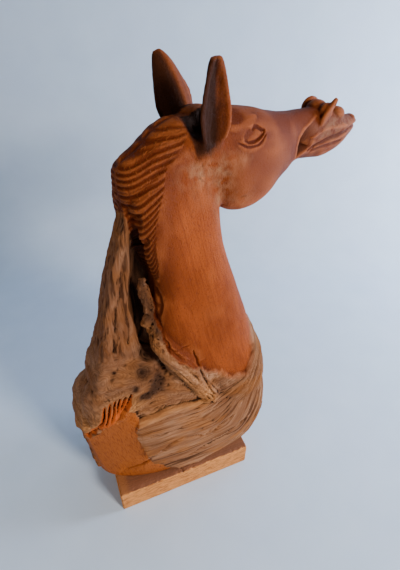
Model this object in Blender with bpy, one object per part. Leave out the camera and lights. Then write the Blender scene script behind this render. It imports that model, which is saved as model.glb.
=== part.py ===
"""A horse's head and neck carved from one root, standing on a plank.

Metres, +Z up, +X the way the horse faces, origin at the middle of the plank's underside.
The carving is one solid: closed forms lofted along their axes are fused, smoothed as a rasp
would leave them, then cut and raised by formulas. Its shape is written in carver's millimetres,
heights counted from the plank's top, and MM turns those into metres for the height chosen.
"""

import math

import bmesh
import bpy
import numpy as np
from mathutils import Vector

# Driving dimensions, in metres.
CARVING_HEIGHT = 0.388  # from the plank's top to the ear tips
PLANK_LENGTH = 0.148
PLANK_DEPTH = 0.100
PLANK_THICKNESS = 0.030
PLANK_BEVEL = 0.0015
SEAT_GAP = 0.0003  # clearance between the carving's flat foot and the plank

# The carving's own millimetre: its forms are shares of its height.
DESIGN_HEIGHT = 388.0
MM = CARVING_HEIGHT / DESIGN_HEIGHT
SEAT_Z = PLANK_THICKNESS + SEAT_GAP

# The head looks a little to its left: the neck turns about an upright line between two heights.
HEAD_TURN = math.radians(16.0)
TURN_LINE_X = 25.0
TURN_FROM, TURN_TO = 200.0, 310.0

# Mesh fineness, in carver's millimetres, and the triangles left after the flat parts are thinned.
RING_POINTS = 56
STATIONS_BETWEEN = 5
FUSE_VOXEL = 1.7
SMOOTH_ROUNDS = 9
CARVING_TRIANGLES = 9400

WOOD_ORANGE = (0.42, 0.13, 0.035, 1.0)
PLANK_TAN = (0.50, 0.22, 0.08, 1.0)


# Small tools for curves and fields, all on whole arrays.


def smooth_step(value, low, high):
    """0 below low, 1 above high and an S between them; low may be the larger."""
    t = np.clip((value - low) / (high - low), 0.0, 1.0)
    return t * t * (3.0 - 2.0 * t)


def through(rows, between):
    """Rows of numbers made denser by a Catmull-Rom curve through them."""
    rows = np.asarray(rows, float)
    padded = np.vstack([2 * rows[0] - rows[1], rows, 2 * rows[-1] - rows[-2]])
    t = (np.arange(between) / between)[:, None]
    pieces = []
    for a, b, c, d in zip(padded[:-3], padded[1:-2], padded[2:-1], padded[3:]):
        pieces.append(
            0.5 * (2 * b + (c - a) * t + (2 * a - 5 * b + 4 * c - d) * t**2 + (3 * b - a - 3 * c + d) * t**3)
        )
    return np.vstack([*pieces, rows[-1:]])


def superellipse(power):
    """Cosine-like and sine-like arrays once round a rounded box of this power."""
    angle = np.linspace(0.0, 2.0 * math.pi, RING_POINTS, endpoint=False)
    cos, sin = np.cos(angle), np.sin(angle)
    share = 2.0 / power
    return np.sign(cos) * np.abs(cos) ** share, np.sign(sin) * np.abs(sin) ** share


def near_line(points, line):
    """Distance from each point to a bent line, and how many of its steps lie before the nearest place.

    In two numbers, x and z, the distance is negative on the right of the line's run.
    """
    line = np.asarray(line, float)
    best = np.full(len(points), np.inf)
    along = np.zeros(len(points))
    right = np.zeros(len(points), bool)
    for i, (start, step) in enumerate(zip(line[:-1], np.diff(line, axis=0))):
        offset = points - start
        t = np.clip(offset @ step / (step @ step), 0.0, 1.0)
        gap = np.linalg.norm(offset - t[:, None] * step, axis=1)
        closer = gap < best
        best = np.where(closer, gap, best)
        along = np.where(closer, i + t, along)
        if line.shape[1] == 2:
            right = np.where(closer, step[0] * offset[:, 1] < step[1] * offset[:, 0], right)
    return np.where(right, -best, best), along


def groove(points, line, width):
    """1 along the middle of a bent line, falling to 0 at this distance and thinning out at both ends."""
    gap, along = near_line(points, line)
    middle = (len(line) - 1) / 2
    ends = 1.0 - 0.7 * np.abs(along / middle - 1.0) ** 4
    return np.clip(1.0 - np.abs(gap) / (width * ends), 0.0, 1.0)


def lump(points, centre, radii):
    """A soft bump: 1 at the centre, falling to about a tenth at its radii."""
    offset = (points - np.asarray(centre)) / np.asarray(radii)
    return np.exp(-2.2 * np.sum(offset**2, axis=1))


# The forms that are fused. A form is rows of rings, closed by a cap at each end. Each row gives the two
# ends of the ring's long axis, as x and z, then its half width: the rings stand across the middle plane.

CREST = [
    (18, 222, -8, 231, 18),
    (24, 254, -15, 247, 20),
    (30, 270, -23, 276, 21),
    (34, 282, -29, 300, 21),
    (40, 290, -31, 321, 20),
    (44, 296, -27, 330, 19),
    (46, 300, -14, 337, 18.5),
    (48, 302, -3, 345, 18),
    (50, 304, 8, 350, 17),
    (50, 308, 24, 352, 16),
]
HEAD = [
    (20, 282, 0, 336, 11),
    (31, 287, 11, 345, 17),
    (42, 292, 24, 351, 21),
    (51, 280, 40, 352, 24.5),
    (64, 273, 56, 351.5, 26.5),
    (79, 272.5, 72, 350, 26.5),
    (95, 277.5, 88, 346.5, 25.5),
    (108, 286, 103, 342, 22.5),
    (120, 291, 117, 339, 19),
    (131, 295, 131, 337, 15.5),
    (143, 296, 146, 336.5, 13.5),
    (157, 294, 161, 336, 12.5),
    (171, 292, 175, 334, 12.5),
    (186, 293.5, 189, 330, 12.5),
    (200, 297, 201, 325, 11.5),
    (213, 301, 212, 322, 9.5),
    (222, 306, 221, 318.5, 6.5),
    (227, 311, 227, 315.5, 3),
]

# Upright forms: each row is a height, the back x, the front x and the half width.
TRUNK = [
    (-18, -84, 97, 34),
    (0, -87, 106, 42),
    (20, -89, 109, 47),
    (45, -91, 109, 49),
    (70, -93, 106, 49),
    (95, -91, 99, 47),
    (115, -81, 93, 43),
    (130, -68, 87, 38),
    (142, -50, 80, 31),
    (149, -30, 64, 18),
]
NECK = [
    (60, 18, 90, 36),
    (90, 4, 97, 43),
    (120, -6, 94, 42),
    (150, -12, 84, 38),
    (180, -13, 76, 34),
    (210, -12, 66, 31),
    (232, -11, 58.5, 29),
    (244, -14, 55, 28),
    (256, -18, 52, 27),
    (270, -23, 50, 26),
    (284, -26, 49, 25),
    (297, -28, 48.5, 24),
    (310, -27, 43, 22.5),
    (322, -16, 39, 20),
    (334, 4, 35, 17.5),
    (346, 16, 32, 12),
]
ROOT_WALL = [
    (95, -80, -20, 36),
    (140, -74, -22, 29),
    (165, -64, -25, 22),
    (190, -56.5, -27, 17),
    (220, -49.5, -27, 13),
    (255, -42.5, -23, 10),
    (285, -35, -18, 8),
    (305, -29, -14, 5),
]
ROOT_WEB = [
    (95, -50, 20, 26),
    (140, -50, 10, 18),
    (180, -42, 6, 13),
    (220, -34, 2, 10),
    (260, -26, 2, 8),
    (285, -20, 0, 7),
]
WALL_SHIFT = -2.0
WEB_SHIFT = 9.0
FLAT_BACK_POWER = 5.0  # the neck and the wall are squarer behind than in front

# An ear is a cupped leaf between its root and its tip; side is -1 for the near ear, 1 for the far one.
NEAR_EAR = (-1, (36.0, 21.0, 322.0), (26.5, 28.5, 387.5), 12.6)
FAR_EAR = (1, (41.0, 18.0, 325.0), (23.8, 28.5, 385.5), 15.8)
EAR_HALF_THICKNESS = 3.6
EAR_CUP = 4.4
EAR_BOW = 2.5
EAR_OPENING = (-0.05, 1.0, 0.0)
EAR_SWAY = 13.0  # how far the ear's foot sweeps back
EAR_SWAY_UNTIL = 0.4
EAR_LEAF = [
    (0.0, 0.2),
    (0.12, 0.5),
    (0.2, 0.68),
    (0.3, 0.87),
    (0.43, 0.97),
    (0.56, 0.95),
    (0.8, 0.63),
    (0.94, 0.38),
    (1.0, 0.2),
]
# The near nostril's flap, as an upright leaf: root, tip, half width and half thickness.
FLAP = ((163.5, -8.0, 321.0), (175.0, -12.0, 342.5), 10.5, 3.2)
FLAP_OPENING = (0.55, -1.0, 0.0)
FLAP_LEAF = [(0.0, 0.8), (0.25, 1.0), (0.5, 0.92), (0.75, 0.62), (0.9, 0.4), (1.0, 0.2)]


def cross_rings(rows, power, shift=0.0, back_power=None):
    """Rings across the middle plane, from rows of two axis ends and a half width."""
    along, across = superellipse(power)
    if back_power:
        behind = along < 0.0
        back_along, back_across = superellipse(back_power)
        along, across = np.where(behind, back_along, along), np.where(behind, back_across, across)
    x0, z0, x1, z1, half = (column[:, None] for column in through(rows, STATIONS_BETWEEN).T)
    x = (x0 + x1) / 2 + (x1 - x0) / 2 * along
    z = (z0 + z1) / 2 + (z1 - z0) / 2 * along
    return np.stack([x, shift + half * across, z], axis=-1)


def upright_rings(rows, power, shift=0.0, back_power=None):
    """Level rings, from rows of a height, a back x, a front x and a half width."""
    return cross_rings([(back, z, front, z, half) for z, back, front, half in rows], power, shift, back_power)


def leaf_rings(root, tip, opening, outline, half_width, half_thickness, cup=0.0, bow=0.0, sway=0.0):
    """Rings along a leaf: narrowed by its outline, cupped, bowed back and swept sideways at its foot."""
    axis = (tip - root) / np.linalg.norm(tip - root)
    out = opening - (opening @ axis) * axis
    out /= np.linalg.norm(out)
    across = np.cross(axis, out)
    t, leaf = (column[:, None] for column in through(outline, STATIONS_BETWEEN).T)
    cos, sin = superellipse(2.5)
    p = half_width * leaf * cos + sway * np.clip(1.0 - t / EAR_SWAY_UNTIL, 0.0, 1.0) ** 2
    q = half_thickness * np.sqrt(leaf) * sin + cup * leaf * (cos**2 - 0.5)
    q = q - bow * np.sin(math.pi * t)
    return root + t[..., None] * (tip - root) + p[..., None] * across + q[..., None] * out


def ear_rings(side, root, tip, half_width):
    """Rings along one ear, opening towards its own side."""
    flip = np.array([1.0, side, 1.0])
    root, tip, opening = (np.array(v) * flip for v in (root, tip, EAR_OPENING))
    return leaf_rings(
        root, tip, opening, EAR_LEAF, half_width, EAR_HALF_THICKNESS, EAR_CUP, EAR_BOW, side * EAR_SWAY
    )


def flap_rings():
    """Rings along the near nostril's flap."""
    root, tip, half_width, half_thickness = FLAP
    root, tip, opening = (np.array(v) for v in (root, tip, FLAP_OPENING))
    return leaf_rings(root, tip, opening, FLAP_LEAF, half_width, half_thickness)


def add_rings(bm, rings):
    """Adds a closed tube of rings to the mesh: quads between rings and a fan at each end."""
    grid = [[bm.verts.new(point) for point in ring] for ring in rings]
    count = len(grid[0])
    for low, high in zip(grid[:-1], grid[1:]):
        for i in range(count):
            j = (i + 1) % count
            bm.faces.new((low[i], low[j], high[j], high[i]))
    for ring, order in ((grid[0], -1), (grid[-1], 1)):
        hub = bm.verts.new(sum((v.co for v in ring), Vector()) / count)
        for i in range(count):
            j = (i + 1) % count
            bm.faces.new((ring[i], ring[j], hub)[::order])


def add_lump(bm, centre, radii):
    """Adds a closed ellipsoid."""
    made = bmesh.ops.create_icosphere(bm, subdivisions=4, radius=1.0)
    for v in made["verts"]:
        v.co = Vector(c + r * n for c, r, n in zip(centre, radii, v.co))


# Lobes of the root, and lumps of the poll, the bridge, the nostrils and the lips: centre and radii.
LOBES = [
    ((-69, 4, 91), (26, 36, 35)),
    ((-62, -16, 114), (24, 27, 24)),
    ((-38, -12, 124), (38, 29, 42)),
    ((30, -6, 96), (56, 39, 40)),
]
HEAD_LUMPS = [
    ((172, 12, 332), (11, 4.5, 9)),
    ((167, -9, 333), (8, 5, 7)),
    ((189, -4, 326.5), (9, 7, 6.5)),
    ((167, 1, 333), (10, 9, 8)),
    ((35, 2, 346), (15, 13, 10)),
    ((215.5, -1, 317.5), (6.5, 6, 4.5)),
    ((213.5, -1, 307.5), (6.5, 6, 4.5)),
]


def fused_forms():
    """One closed mesh of all the forms, in carver's millimetres."""
    bm = bmesh.new()
    for rings in (
        upright_rings(TRUNK, 2.3),
        upright_rings(NECK, 2.6, 0.0, FLAT_BACK_POWER),
        upright_rings(ROOT_WALL, 2.6, WALL_SHIFT, FLAT_BACK_POWER),
        upright_rings(ROOT_WEB, 2.2, WEB_SHIFT),
        cross_rings(CREST, 2.6),
        cross_rings(HEAD, 2.3),
        ear_rings(*NEAR_EAR),
        ear_rings(*FAR_EAR),
        flap_rings(),
    ):
        part = bmesh.new()
        add_rings(part, rings)
        bmesh.ops.recalc_face_normals(part, faces=part.faces[:])
        piece = bpy.data.meshes.new("form")
        part.to_mesh(piece)
        part.free()
        bm.from_mesh(piece)
        bpy.data.meshes.remove(piece)
    for centre, radii in LOBES + HEAD_LUMPS:
        add_lump(bm, centre, radii)
    mesh = bpy.data.meshes.new("forms")
    bm.to_mesh(mesh)
    bm.free()
    return remeshed(mesh, FUSE_VOXEL)


def evaluated(mesh, *modifiers):
    """A new mesh: this one after the modifiers, each given as its type and settings."""
    obj = bpy.data.objects.new("helper", mesh)
    bpy.context.scene.collection.objects.link(obj)
    for kind, settings in modifiers:
        modifier = obj.modifiers.new(kind, kind)
        for name, value in settings.items():
            setattr(modifier, name, value)
    graph = bpy.context.evaluated_depsgraph_get()
    result = bpy.data.meshes.new_from_object(obj.evaluated_get(graph))
    bpy.data.objects.remove(obj)
    return result


def remeshed(mesh, voxel):
    """The outer skin of overlapping closed shapes as one even mesh."""
    return evaluated(mesh, ("REMESH", {"mode": "VOXEL", "voxel_size": voxel, "adaptivity": 0.0}))


def points_of(mesh):
    flat = np.empty(len(mesh.vertices) * 3, np.float32)
    mesh.vertices.foreach_get("co", flat)
    return flat.reshape(-1, 3).astype(float)


def normals_of(mesh):
    flat = np.empty(len(mesh.vertices) * 3, np.float32)
    mesh.vertex_normals.foreach_get("vector", flat)
    return flat.reshape(-1, 3).astype(float)


def move_points(mesh, points):
    mesh.vertices.foreach_set("co", points.astype(np.float32).ravel())
    mesh.update()


def relax(mesh, rounds):
    """Rounds off creases without shrinking: each round pulls points in, then pushes them back out."""
    edges = np.empty(len(mesh.edges) * 2, np.int32)
    mesh.edges.foreach_get("vertices", edges)
    a, b = edges.reshape(-1, 2).T
    count = len(mesh.vertices)
    degree = np.bincount(a, minlength=count) + np.bincount(b, minlength=count)
    points = points_of(mesh)
    for _ in range(round(rounds)):
        for pull in (0.5, -0.52):
            total = np.stack(
                [
                    np.bincount(a, points[b, k], count) + np.bincount(b, points[a, k], count)
                    for k in range(3)
                ],
                axis=1,
            )
            points += pull * (total / degree[:, None] - points)
    move_points(mesh, points)


# The carver's cuts and the root's own relief. Lines are x and z on the side they show from.

# The mane: its locks run from the root line to the tip line, row by row.
MANE_ROWS = [
    (27, 343, 20, 353),
    (24, 341, 5, 350),
    (21, 340, -9, 343),
    (18, 339, -21, 334),
    (14, 337.5, -31, 328),
    (5, 332, -34, 321),
    (-4, 325, -33, 313),
    (-9, 314, -31, 300),
    (-13, 298, -27, 284),
    (-13, 283, -24, 270),
    (-13, 268, -20, 256),
    (-13.5, 253, -16, 246),
    (-13, 240, -13, 237),
]
LOCKS_PER_ROW = 1.0
LOCK_DEPTH = 2.6
# Between these two numbers the mane fades out: heights below and above, and x in front.
MANE_FADES_BELOW = (232.0, 242.0)
MANE_FADES_ABOVE = (357.0, 353.0)
MANE_FADES_IN_FRONT = (27.0, 20.0)

EYE = (68.0, 334.0)
EYE_TILT = math.radians(10.0)
EYE_HALF_LENGTH, EYE_HALF_HEIGHT = 10.5, 5.3
NOSE_HOLLOW = [(135, 303), (138, 311), (141, 317), (149, 322), (160, 327)]
MOUTH = [(144, 303), (158, 308), (178, 311), (194, 313), (214, 313)]
CHIN_LINE = [(150, 299), (170, 303), (190, 305), (208, 307)]
NOSTRIL = (178.0, 14.0, 332.0)

# The root's layers run beside this line, on both sides.
LAYER_LINE = [
    (-90, 88), (-60, 96), (-37, 104), (-17, 108), (15, 107), (40, 110), (61, 118), (77, 136), (86, 165)
]
LAYER_WIDTH = 10.0
LAYER_DEPTH = 1.2
LAYERS_FADE_ABOVE = (150.0, 120.0)
LAYERS_FADE_BEHIND = (-70.0, -45.0)
COLLAR_LINE = [(-30, 190), (-10, 176), (12, 158), (28, 132), (48, 122), (70, 116), (90, 128), (110, 150)]
COLLAR_SWELL = 2.0

SPUR = [(-22, -20, 192), (-12, -29, 172), (0, -36, 155), (10, -41, 138), (18, -45, 122), (25, -47, 110)]
SPUR_HEIGHT = 10.0
SPUR_CRACK = [(15, 166), (18, 150), (21, 138), (25, 126), (29, 117)]
BARK_EDGE = [(-22, 243), (-20, 226), (-16, 212), (-15, 198), (-9, 182)]
LONG_CRACK = [(-62, 14), (-39, 35), (-32, 48), (-13, 62), (-4, 64), (24, 54), (44, 63)]
HOLLOW_BESIDE_NECK = [(-24, 290), (-22, 262), (-22, 236), (-22, 205), (-20, 184), (-24, 172)]
KNOTS = [((-23, -26, 172), 9), ((-33, -36, 150), 7), ((-58, -30, 146), 6)]

# The sawn corner: a flat through these three points, below the line of gouges.
SAWN_CORNER = [(-81, -21, 0), (-40, -43.5, 0), (-39, -46, 120)]
SAWN_TOP = [(-100, 72), (-85, 84), (-47, 118), (-36, 140)]
SAWN_FRINGE = [(-92, 88), (-70, 108), (-45, 130)]
GOUGE_TOPS = [(-74, 121), (-42, 134)]
GOUGE_FEET = [(-87, 76), (-55, 106)]
GOUGES = 5
WALL_FURROWS = [[(-27, 300), (-36, 240), (-50, 176)], [(-22, 282), (-28, 230), (-37, 180)]]


def mane_relief(flank):
    """Locks between the mane's root and tip lines: round backs with sharp furrows between them."""
    rows = np.asarray(MANE_ROWS, float)
    to_root, root_row = near_line(flank, rows[:, :2])
    to_tip, tip_row = near_line(flank, rows[:, 2:])
    across = np.abs(to_root) / (np.abs(to_root) + np.abs(to_tip) + 1e-6)
    row = (1.0 - across) * root_row + across * tip_row
    lock = np.abs(np.sin(math.pi * LOCKS_PER_ROW * row)) ** 0.8
    inside = smooth_step(-to_root, -0.5, 2.5) * smooth_step(to_tip, -5.0, -2.0)
    inside *= smooth_step(flank[:, 1], *MANE_FADES_BELOW) * smooth_step(flank[:, 1], *MANE_FADES_ABOVE)
    behind = smooth_step(flank[:, 0], *MANE_FADES_IN_FRONT)
    return inside * behind * (LOCK_DEPTH * (lock - 1.0) + 0.7)


def face_relief(points, flank):
    """Eye, hollow behind the nose, mouth, chin line and nostril, on both sides of the head."""
    x, z = flank.T
    cos, sin = math.cos(EYE_TILT), math.sin(EYE_TILT)
    u = ((x - EYE[0]) * cos + (z - EYE[1]) * sin) / EYE_HALF_LENGTH
    v = ((z - EYE[1]) * cos - (x - EYE[0]) * sin) / (EYE_HALF_HEIGHT * np.sqrt(np.clip(1.2 - u**2, 0.1, 1.2)))
    rim = np.hypot(u, v)
    eye = 1.3 * np.exp(-((rim / 0.6) ** 2)) - 1.9 * np.exp(-(((rim - 1.0) / 0.2) ** 2))
    eye += 1.0 * np.exp(-(((rim - 1.5) / 0.25) ** 2))
    beside = smooth_step(np.abs(points[:, 1]), 4.0, 8.0)
    mouth = -2.6 * groove(flank, MOUTH, 3.2) - 1.2 * groove(flank, CHIN_LINE, 2.4)
    hollow = -6.5 * groove(flank, NOSE_HOLLOW, 8.5) ** 0.8
    mirrored = np.abs(points) * (1, 1, 0) + points * (0, 0, 1)
    nostril = -4.0 * lump(mirrored, NOSTRIL, (4.0, 5.0, 5.0))
    return beside * (eye + hollow) + smooth_step(np.abs(points[:, 1]), 1.0, 4.0) * (mouth + nostril)


def root_relief(points, flank):
    """The weathered root: overlapping layers, swollen collar, spur with its crack, knots and gouges."""
    x, y, z = points.T
    near_side = smooth_step(y, -2.0, -12.0)
    below, _ = near_line(flank, LAYER_LINE)
    step = below / LAYER_WIDTH + 0.35 * np.sin(x / 19.0) + 0.2 * np.sin(z / 13.0 + x / 31.0)
    layer = (step - np.floor(step)) ** 1.5
    under_collar, _ = near_line(flank, COLLAR_LINE)
    weathered = smooth_step(-under_collar, -1.5, 2.0)
    relief = weathered * (COLLAR_SWELL * smooth_step(-under_collar, 45.0, 4.0) * smooth_step(x, -5.0, 20.0))
    layered = weathered * smooth_step(z, *LAYERS_FADE_ABOVE) * smooth_step(x, *LAYERS_FADE_BEHIND)
    relief += LAYER_DEPTH * (layer - 0.5) * layered
    gap, _ = near_line(points, SPUR)
    relief += SPUR_HEIGHT * np.clip(1.0 - gap / 13.0, 0.0, 1.0) ** 1.3
    cuts = 3.5 * groove(flank, SPUR_CRACK, 4.0) + 2.6 * groove(flank, LONG_CRACK, 3.0)
    cuts += 6.0 * groove(flank, HOLLOW_BESIDE_NECK, 9.0)
    cuts -= 3.0 * groove(flank, BARK_EDGE, 5.0) * (0.7 + 0.5 * np.sin(z / 2.6))
    for i in range(GOUGES):
        share = i / (GOUGES - 1)
        ends = [np.asarray(e[0]) + share * (np.asarray(e[1]) - e[0]) for e in (GOUGE_TOPS, GOUGE_FEET)]
        cuts += 4.2 * groove(flank, ends, 3.8)
    for furrow in WALL_FURROWS:
        cuts += 2.4 * groove(flank, furrow, 5.0)
    cuts -= 4.5 * groove(flank, SAWN_FRINGE, 16.0)
    relief -= near_side * cuts
    for centre, radius in KNOTS:
        relief -= 0.45 * radius * lump(points, centre, (radius, radius, radius))
    return relief


def saw_corner(points):
    """Moves what stands proud of the sawn corner back onto its flat."""
    first, second, third = (np.asarray(p, float) for p in SAWN_CORNER)
    normal = np.cross(second - first, third - first)
    normal /= np.linalg.norm(normal)
    proud = np.maximum((points - first) @ normal, 0.0)
    under, _ = near_line(points[:, [0, 2]], SAWN_TOP)
    proud *= smooth_step(-under, -2.0, 3.0) * smooth_step(points[:, 0], -28.0, -36.0)
    return points - proud[:, None] * normal


def carved(points, normals):
    """Every cut and swelling, as a move along the surface normal, then the sawn corner."""
    flank = points[:, [0, 2]]
    move = mane_relief(flank) + face_relief(points, flank) + root_relief(points, flank)
    return saw_corner(points + move[:, None] * normals)


def turn_head(points):
    """Turns what stands above the neck about its upright line."""
    angle = HEAD_TURN * smooth_step(points[:, 2], TURN_FROM, TURN_TO)
    x = points[:, 0] - TURN_LINE_X
    y = points[:, 1]
    turned = points.copy()
    turned[:, 0] = TURN_LINE_X + x * np.cos(angle) - y * np.sin(angle)
    turned[:, 1] = x * np.sin(angle) + y * np.cos(angle)
    return turned


def flat_foot(bm):
    """Saws the carving off flat at the seat and closes the cut."""
    plane = Vector((0.0, 0.0, SEAT_Z))
    everything = bm.verts[:] + bm.edges[:] + bm.faces[:]
    cut = bmesh.ops.bisect_plane(
        bm, geom=everything, dist=1e-7, plane_co=plane, plane_no=(0, 0, 1), clear_inner=True
    )
    rim = [e for e in cut["geom_cut"] if isinstance(e, bmesh.types.BMEdge) and e.is_boundary]
    bmesh.ops.triangle_fill(bm, edges=rim, use_beauty=True, use_dissolve=False, normal=(0, 0, -1))


def carve_horse():
    """The carved horse head with its root, as one solid resting over the plank."""
    mesh = fused_forms()
    relax(mesh, SMOOTH_ROUNDS)
    points = turn_head(carved(points_of(mesh), normals_of(mesh)))
    move_points(mesh, points * MM + np.array([0.0, 0.0, SEAT_Z]))
    triangles = sum(len(p.vertices) - 2 for p in mesh.polygons)
    mesh = evaluated(
        mesh, ("DECIMATE", {"decimate_type": "COLLAPSE", "ratio": CARVING_TRIANGLES / triangles})
    )
    bm = bmesh.new()
    bm.from_mesh(mesh)
    flat_foot(bm)
    bmesh.ops.triangulate(bm, faces=bm.faces[:])
    bmesh.ops.recalc_face_normals(bm, faces=bm.faces[:])
    bm.to_mesh(mesh)
    bm.free()
    return place("carved_horse_head", mesh, WOOD_ORANGE, 0.55)


def saw_plank():
    """The plank: a planed board with its edges just eased."""
    bm = bmesh.new()
    bmesh.ops.create_cube(bm, size=1.0)
    size = Vector((PLANK_LENGTH, PLANK_DEPTH, PLANK_THICKNESS))
    bmesh.ops.scale(bm, vec=size, verts=bm.verts[:])
    bmesh.ops.translate(bm, vec=(0, 0, PLANK_THICKNESS / 2), verts=bm.verts[:])
    bmesh.ops.bevel(
        bm, geom=bm.edges[:], offset=PLANK_BEVEL, segments=1, affect="EDGES", clamp_overlap=True
    )
    mesh = bpy.data.meshes.new("base_plank")
    bm.to_mesh(mesh)
    bm.free()
    return place("base_plank", mesh, PLANK_TAN, 0.65)


def place(name, mesh, colour, roughness):
    """Links the mesh as a named object with its own plain wood material."""
    material = bpy.data.materials.new(name + "_wood")
    material.use_nodes = True
    shader = material.node_tree.nodes["Principled BSDF"]
    shader.inputs["Base Color"].default_value = colour
    shader.inputs["Roughness"].default_value = roughness
    shader.inputs["Metallic"].default_value = 0.0
    mesh.materials.clear()
    mesh.materials.append(material)
    obj = bpy.data.objects.new(name, mesh)
    bpy.context.scene.collection.objects.link(obj)
    return obj


def main():
    for obj in list(bpy.data.objects):
        bpy.data.objects.remove(obj)
    carve_horse()
    saw_plank()


main()
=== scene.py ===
"""A horse's head carved from a root, on its plank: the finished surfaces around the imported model.

The carving is worked out in carver's millimetres: x the way the horse faces, y to its left, z up from
the plank's top, with the neck not yet turned. Closed forms are fused and smoothed, then every cut and
ridge is a field over the surface that moves it along its normal. Lengths without a unit are these
millimetres, and the frame is in metres.
"""

import itertools
import logging
import math
from dataclasses import dataclass
from enum import Enum

import bmesh
import bpy
import numpy as np
from mathutils import Matrix, Vector


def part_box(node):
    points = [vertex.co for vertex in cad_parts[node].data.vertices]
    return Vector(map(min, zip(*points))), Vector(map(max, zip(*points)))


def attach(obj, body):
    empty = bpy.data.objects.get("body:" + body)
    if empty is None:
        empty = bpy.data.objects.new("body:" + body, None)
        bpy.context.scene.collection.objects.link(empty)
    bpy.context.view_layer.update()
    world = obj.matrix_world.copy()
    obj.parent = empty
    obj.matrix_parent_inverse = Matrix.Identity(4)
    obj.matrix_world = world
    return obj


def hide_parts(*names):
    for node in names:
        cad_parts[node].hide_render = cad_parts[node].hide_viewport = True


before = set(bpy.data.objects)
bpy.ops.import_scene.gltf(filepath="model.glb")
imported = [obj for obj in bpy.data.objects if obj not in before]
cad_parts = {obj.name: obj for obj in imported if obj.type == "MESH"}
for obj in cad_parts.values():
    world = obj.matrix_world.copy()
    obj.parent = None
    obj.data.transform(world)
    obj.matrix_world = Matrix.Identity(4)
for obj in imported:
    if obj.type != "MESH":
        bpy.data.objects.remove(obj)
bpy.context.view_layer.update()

logging.basicConfig(level=logging.INFO, format="%(message)s")
log = logging.getLogger("horse")

Array = np.ndarray
Rows = tuple[tuple[float, ...], ...]
Point = tuple[float, float, float]
Span = tuple[float, float]
Mesh = bpy.types.Mesh
Object = bpy.types.Object
Material = bpy.types.Material
# What feeds a node's input: another's output, or another node for its first output.
Source = bpy.types.NodeSocket | bpy.types.Node

MM = 0.001
# How many points a ring has, and how many rings are made of each gap between two given ones.
RING_POINTS = 72
RINGS_BETWEEN = 6
# Keeps the share of two distances from dividing by nothing.
TINY = 1e-6
# The noise's table of random numbers, and what scatters a cell's three whole numbers over it.
TABLE_SIZE = 4096
PRIMES = (73856093, 19349663, 83492791)
FOLD = 13
# How much further on each finer layer of noise is read, so that its cells lie off the last one's.
LAYER_SHIFT = 17.3
CREST_SHIFT = 31.7


class Flank(Enum):
    """The side of the horse that a form is on, as the sign of its y."""

    NEAR = -1
    FAR = 1


def smooth_step(value: Array, low: float, high: float) -> Array:
    """An S-shaped climb.

    Args:
        value: Where to read it.
        low: Where it is 0; it may be the larger of the two.
        high: Where it is 1.

    Returns:
        Numbers from 0 to 1: t * t * (3 - 2 t), with t the share of the way from low to high.
    """
    t = np.clip((value - low) / (high - low), 0.0, 1.0)
    return t * t * (3.0 - 2.0 * t)


def bell(value: Array, middle: float, spread: float) -> Array:
    """1 at the middle, falling as a Gaussian of this spread."""
    return np.exp(-(((value - middle) / spread) ** 2))


def through(rows: Rows, between: int) -> Array:
    """A Catmull-Rom curve through rows of numbers.

    Args:
        rows: The rows that it passes through.
        between: How many rows it makes of each gap.

    Returns:
        The denser rows, each coordinate a cubic of the share between its two neighbours.
    """
    given = np.asarray(rows, float)
    padded = np.vstack([2 * given[0] - given[1], given, 2 * given[-1] - given[-2]])
    t = (np.arange(between) / between)[:, None]
    pieces = []
    for a, b, c, d in zip(padded[:-3], padded[1:-2], padded[2:-1], padded[3:]):
        bend = (2 * a - 5 * b + 4 * c - d) * t**2 + (3 * b - a - 3 * c + d) * t**3
        pieces.append(0.5 * (2 * b + (c - a) * t + bend))
    return np.vstack([*pieces, given[-1:]])


def near_line(points: Array, line: Rows) -> tuple[Array, Array]:
    """How far points lie from a bent line, and where along it.

    Args:
        points: Rows of as many numbers as the line's points have.
        line: The line's corners.

    Returns:
        The distance, and the length of line before the nearest place. In two numbers the
        distance is negative on the right of the line's run.
    """
    corners = np.asarray(line, float)
    best = np.full(len(points), np.inf)
    along = np.zeros(len(points))
    right = np.zeros(len(points), bool)
    before = 0.0
    for start, step in zip(corners[:-1], np.diff(corners, axis=0)):
        offset = points - start
        length = float(np.linalg.norm(step))
        t = np.clip(offset @ step / length**2, 0.0, 1.0)
        gap = np.linalg.norm(offset - t[:, None] * step, axis=1)
        closer = gap < best
        best = np.where(closer, gap, best)
        along = np.where(closer, before + t * length, along)
        if corners.shape[1] == 2:
            right = np.where(closer, step[0] * offset[:, 1] < step[1] * offset[:, 0], right)
        before += length
    return np.where(right, -best, best), along


def line_length(line: Rows) -> float:
    """The length of a bent line."""
    return float(np.linalg.norm(np.diff(np.asarray(line, float), axis=0), axis=1).sum())


def groove(points: Array, line: Rows, width: float, ends: float = 0.7) -> Array:
    """A channel along a bent line.

    Args:
        points: Where to read it.
        line: The line's corners.
        width: The distance at which it reaches 0.
        ends: How much narrower it is at both ends, as a share.

    Returns:
        1 along the line, falling straight to 0 at its width.
    """
    gap, along = near_line(points, line)
    share = 2.0 * along / line_length(line) - 1.0
    return np.clip(1.0 - np.abs(gap) / (width * (1.0 - ends * share**4)), 0.0, 1.0)


def depth_in(points: Array, outline: Rows) -> Array:
    """How deep points lie in a closed outline.

    Args:
        points: Rows of two numbers.
        outline: The outline's corners in order.

    Returns:
        The distance to the outline, negative outside: a level ray from there crosses it an even
        number of times.
    """
    corners = np.asarray(outline, float)
    gap, _ = near_line(points, (*outline, outline[0]))
    x, z = points.T
    odd = np.zeros(len(points), bool)
    for (x0, z0), (x1, z1) in zip(corners, np.roll(corners, -1, axis=0)):
        if z0 != z1:
            odd ^= ((z0 > z) != (z1 > z)) & (x < x0 + (z - z0) * (x1 - x0) / (z1 - z0))
    return np.where(odd, np.abs(gap), -np.abs(gap))


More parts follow.
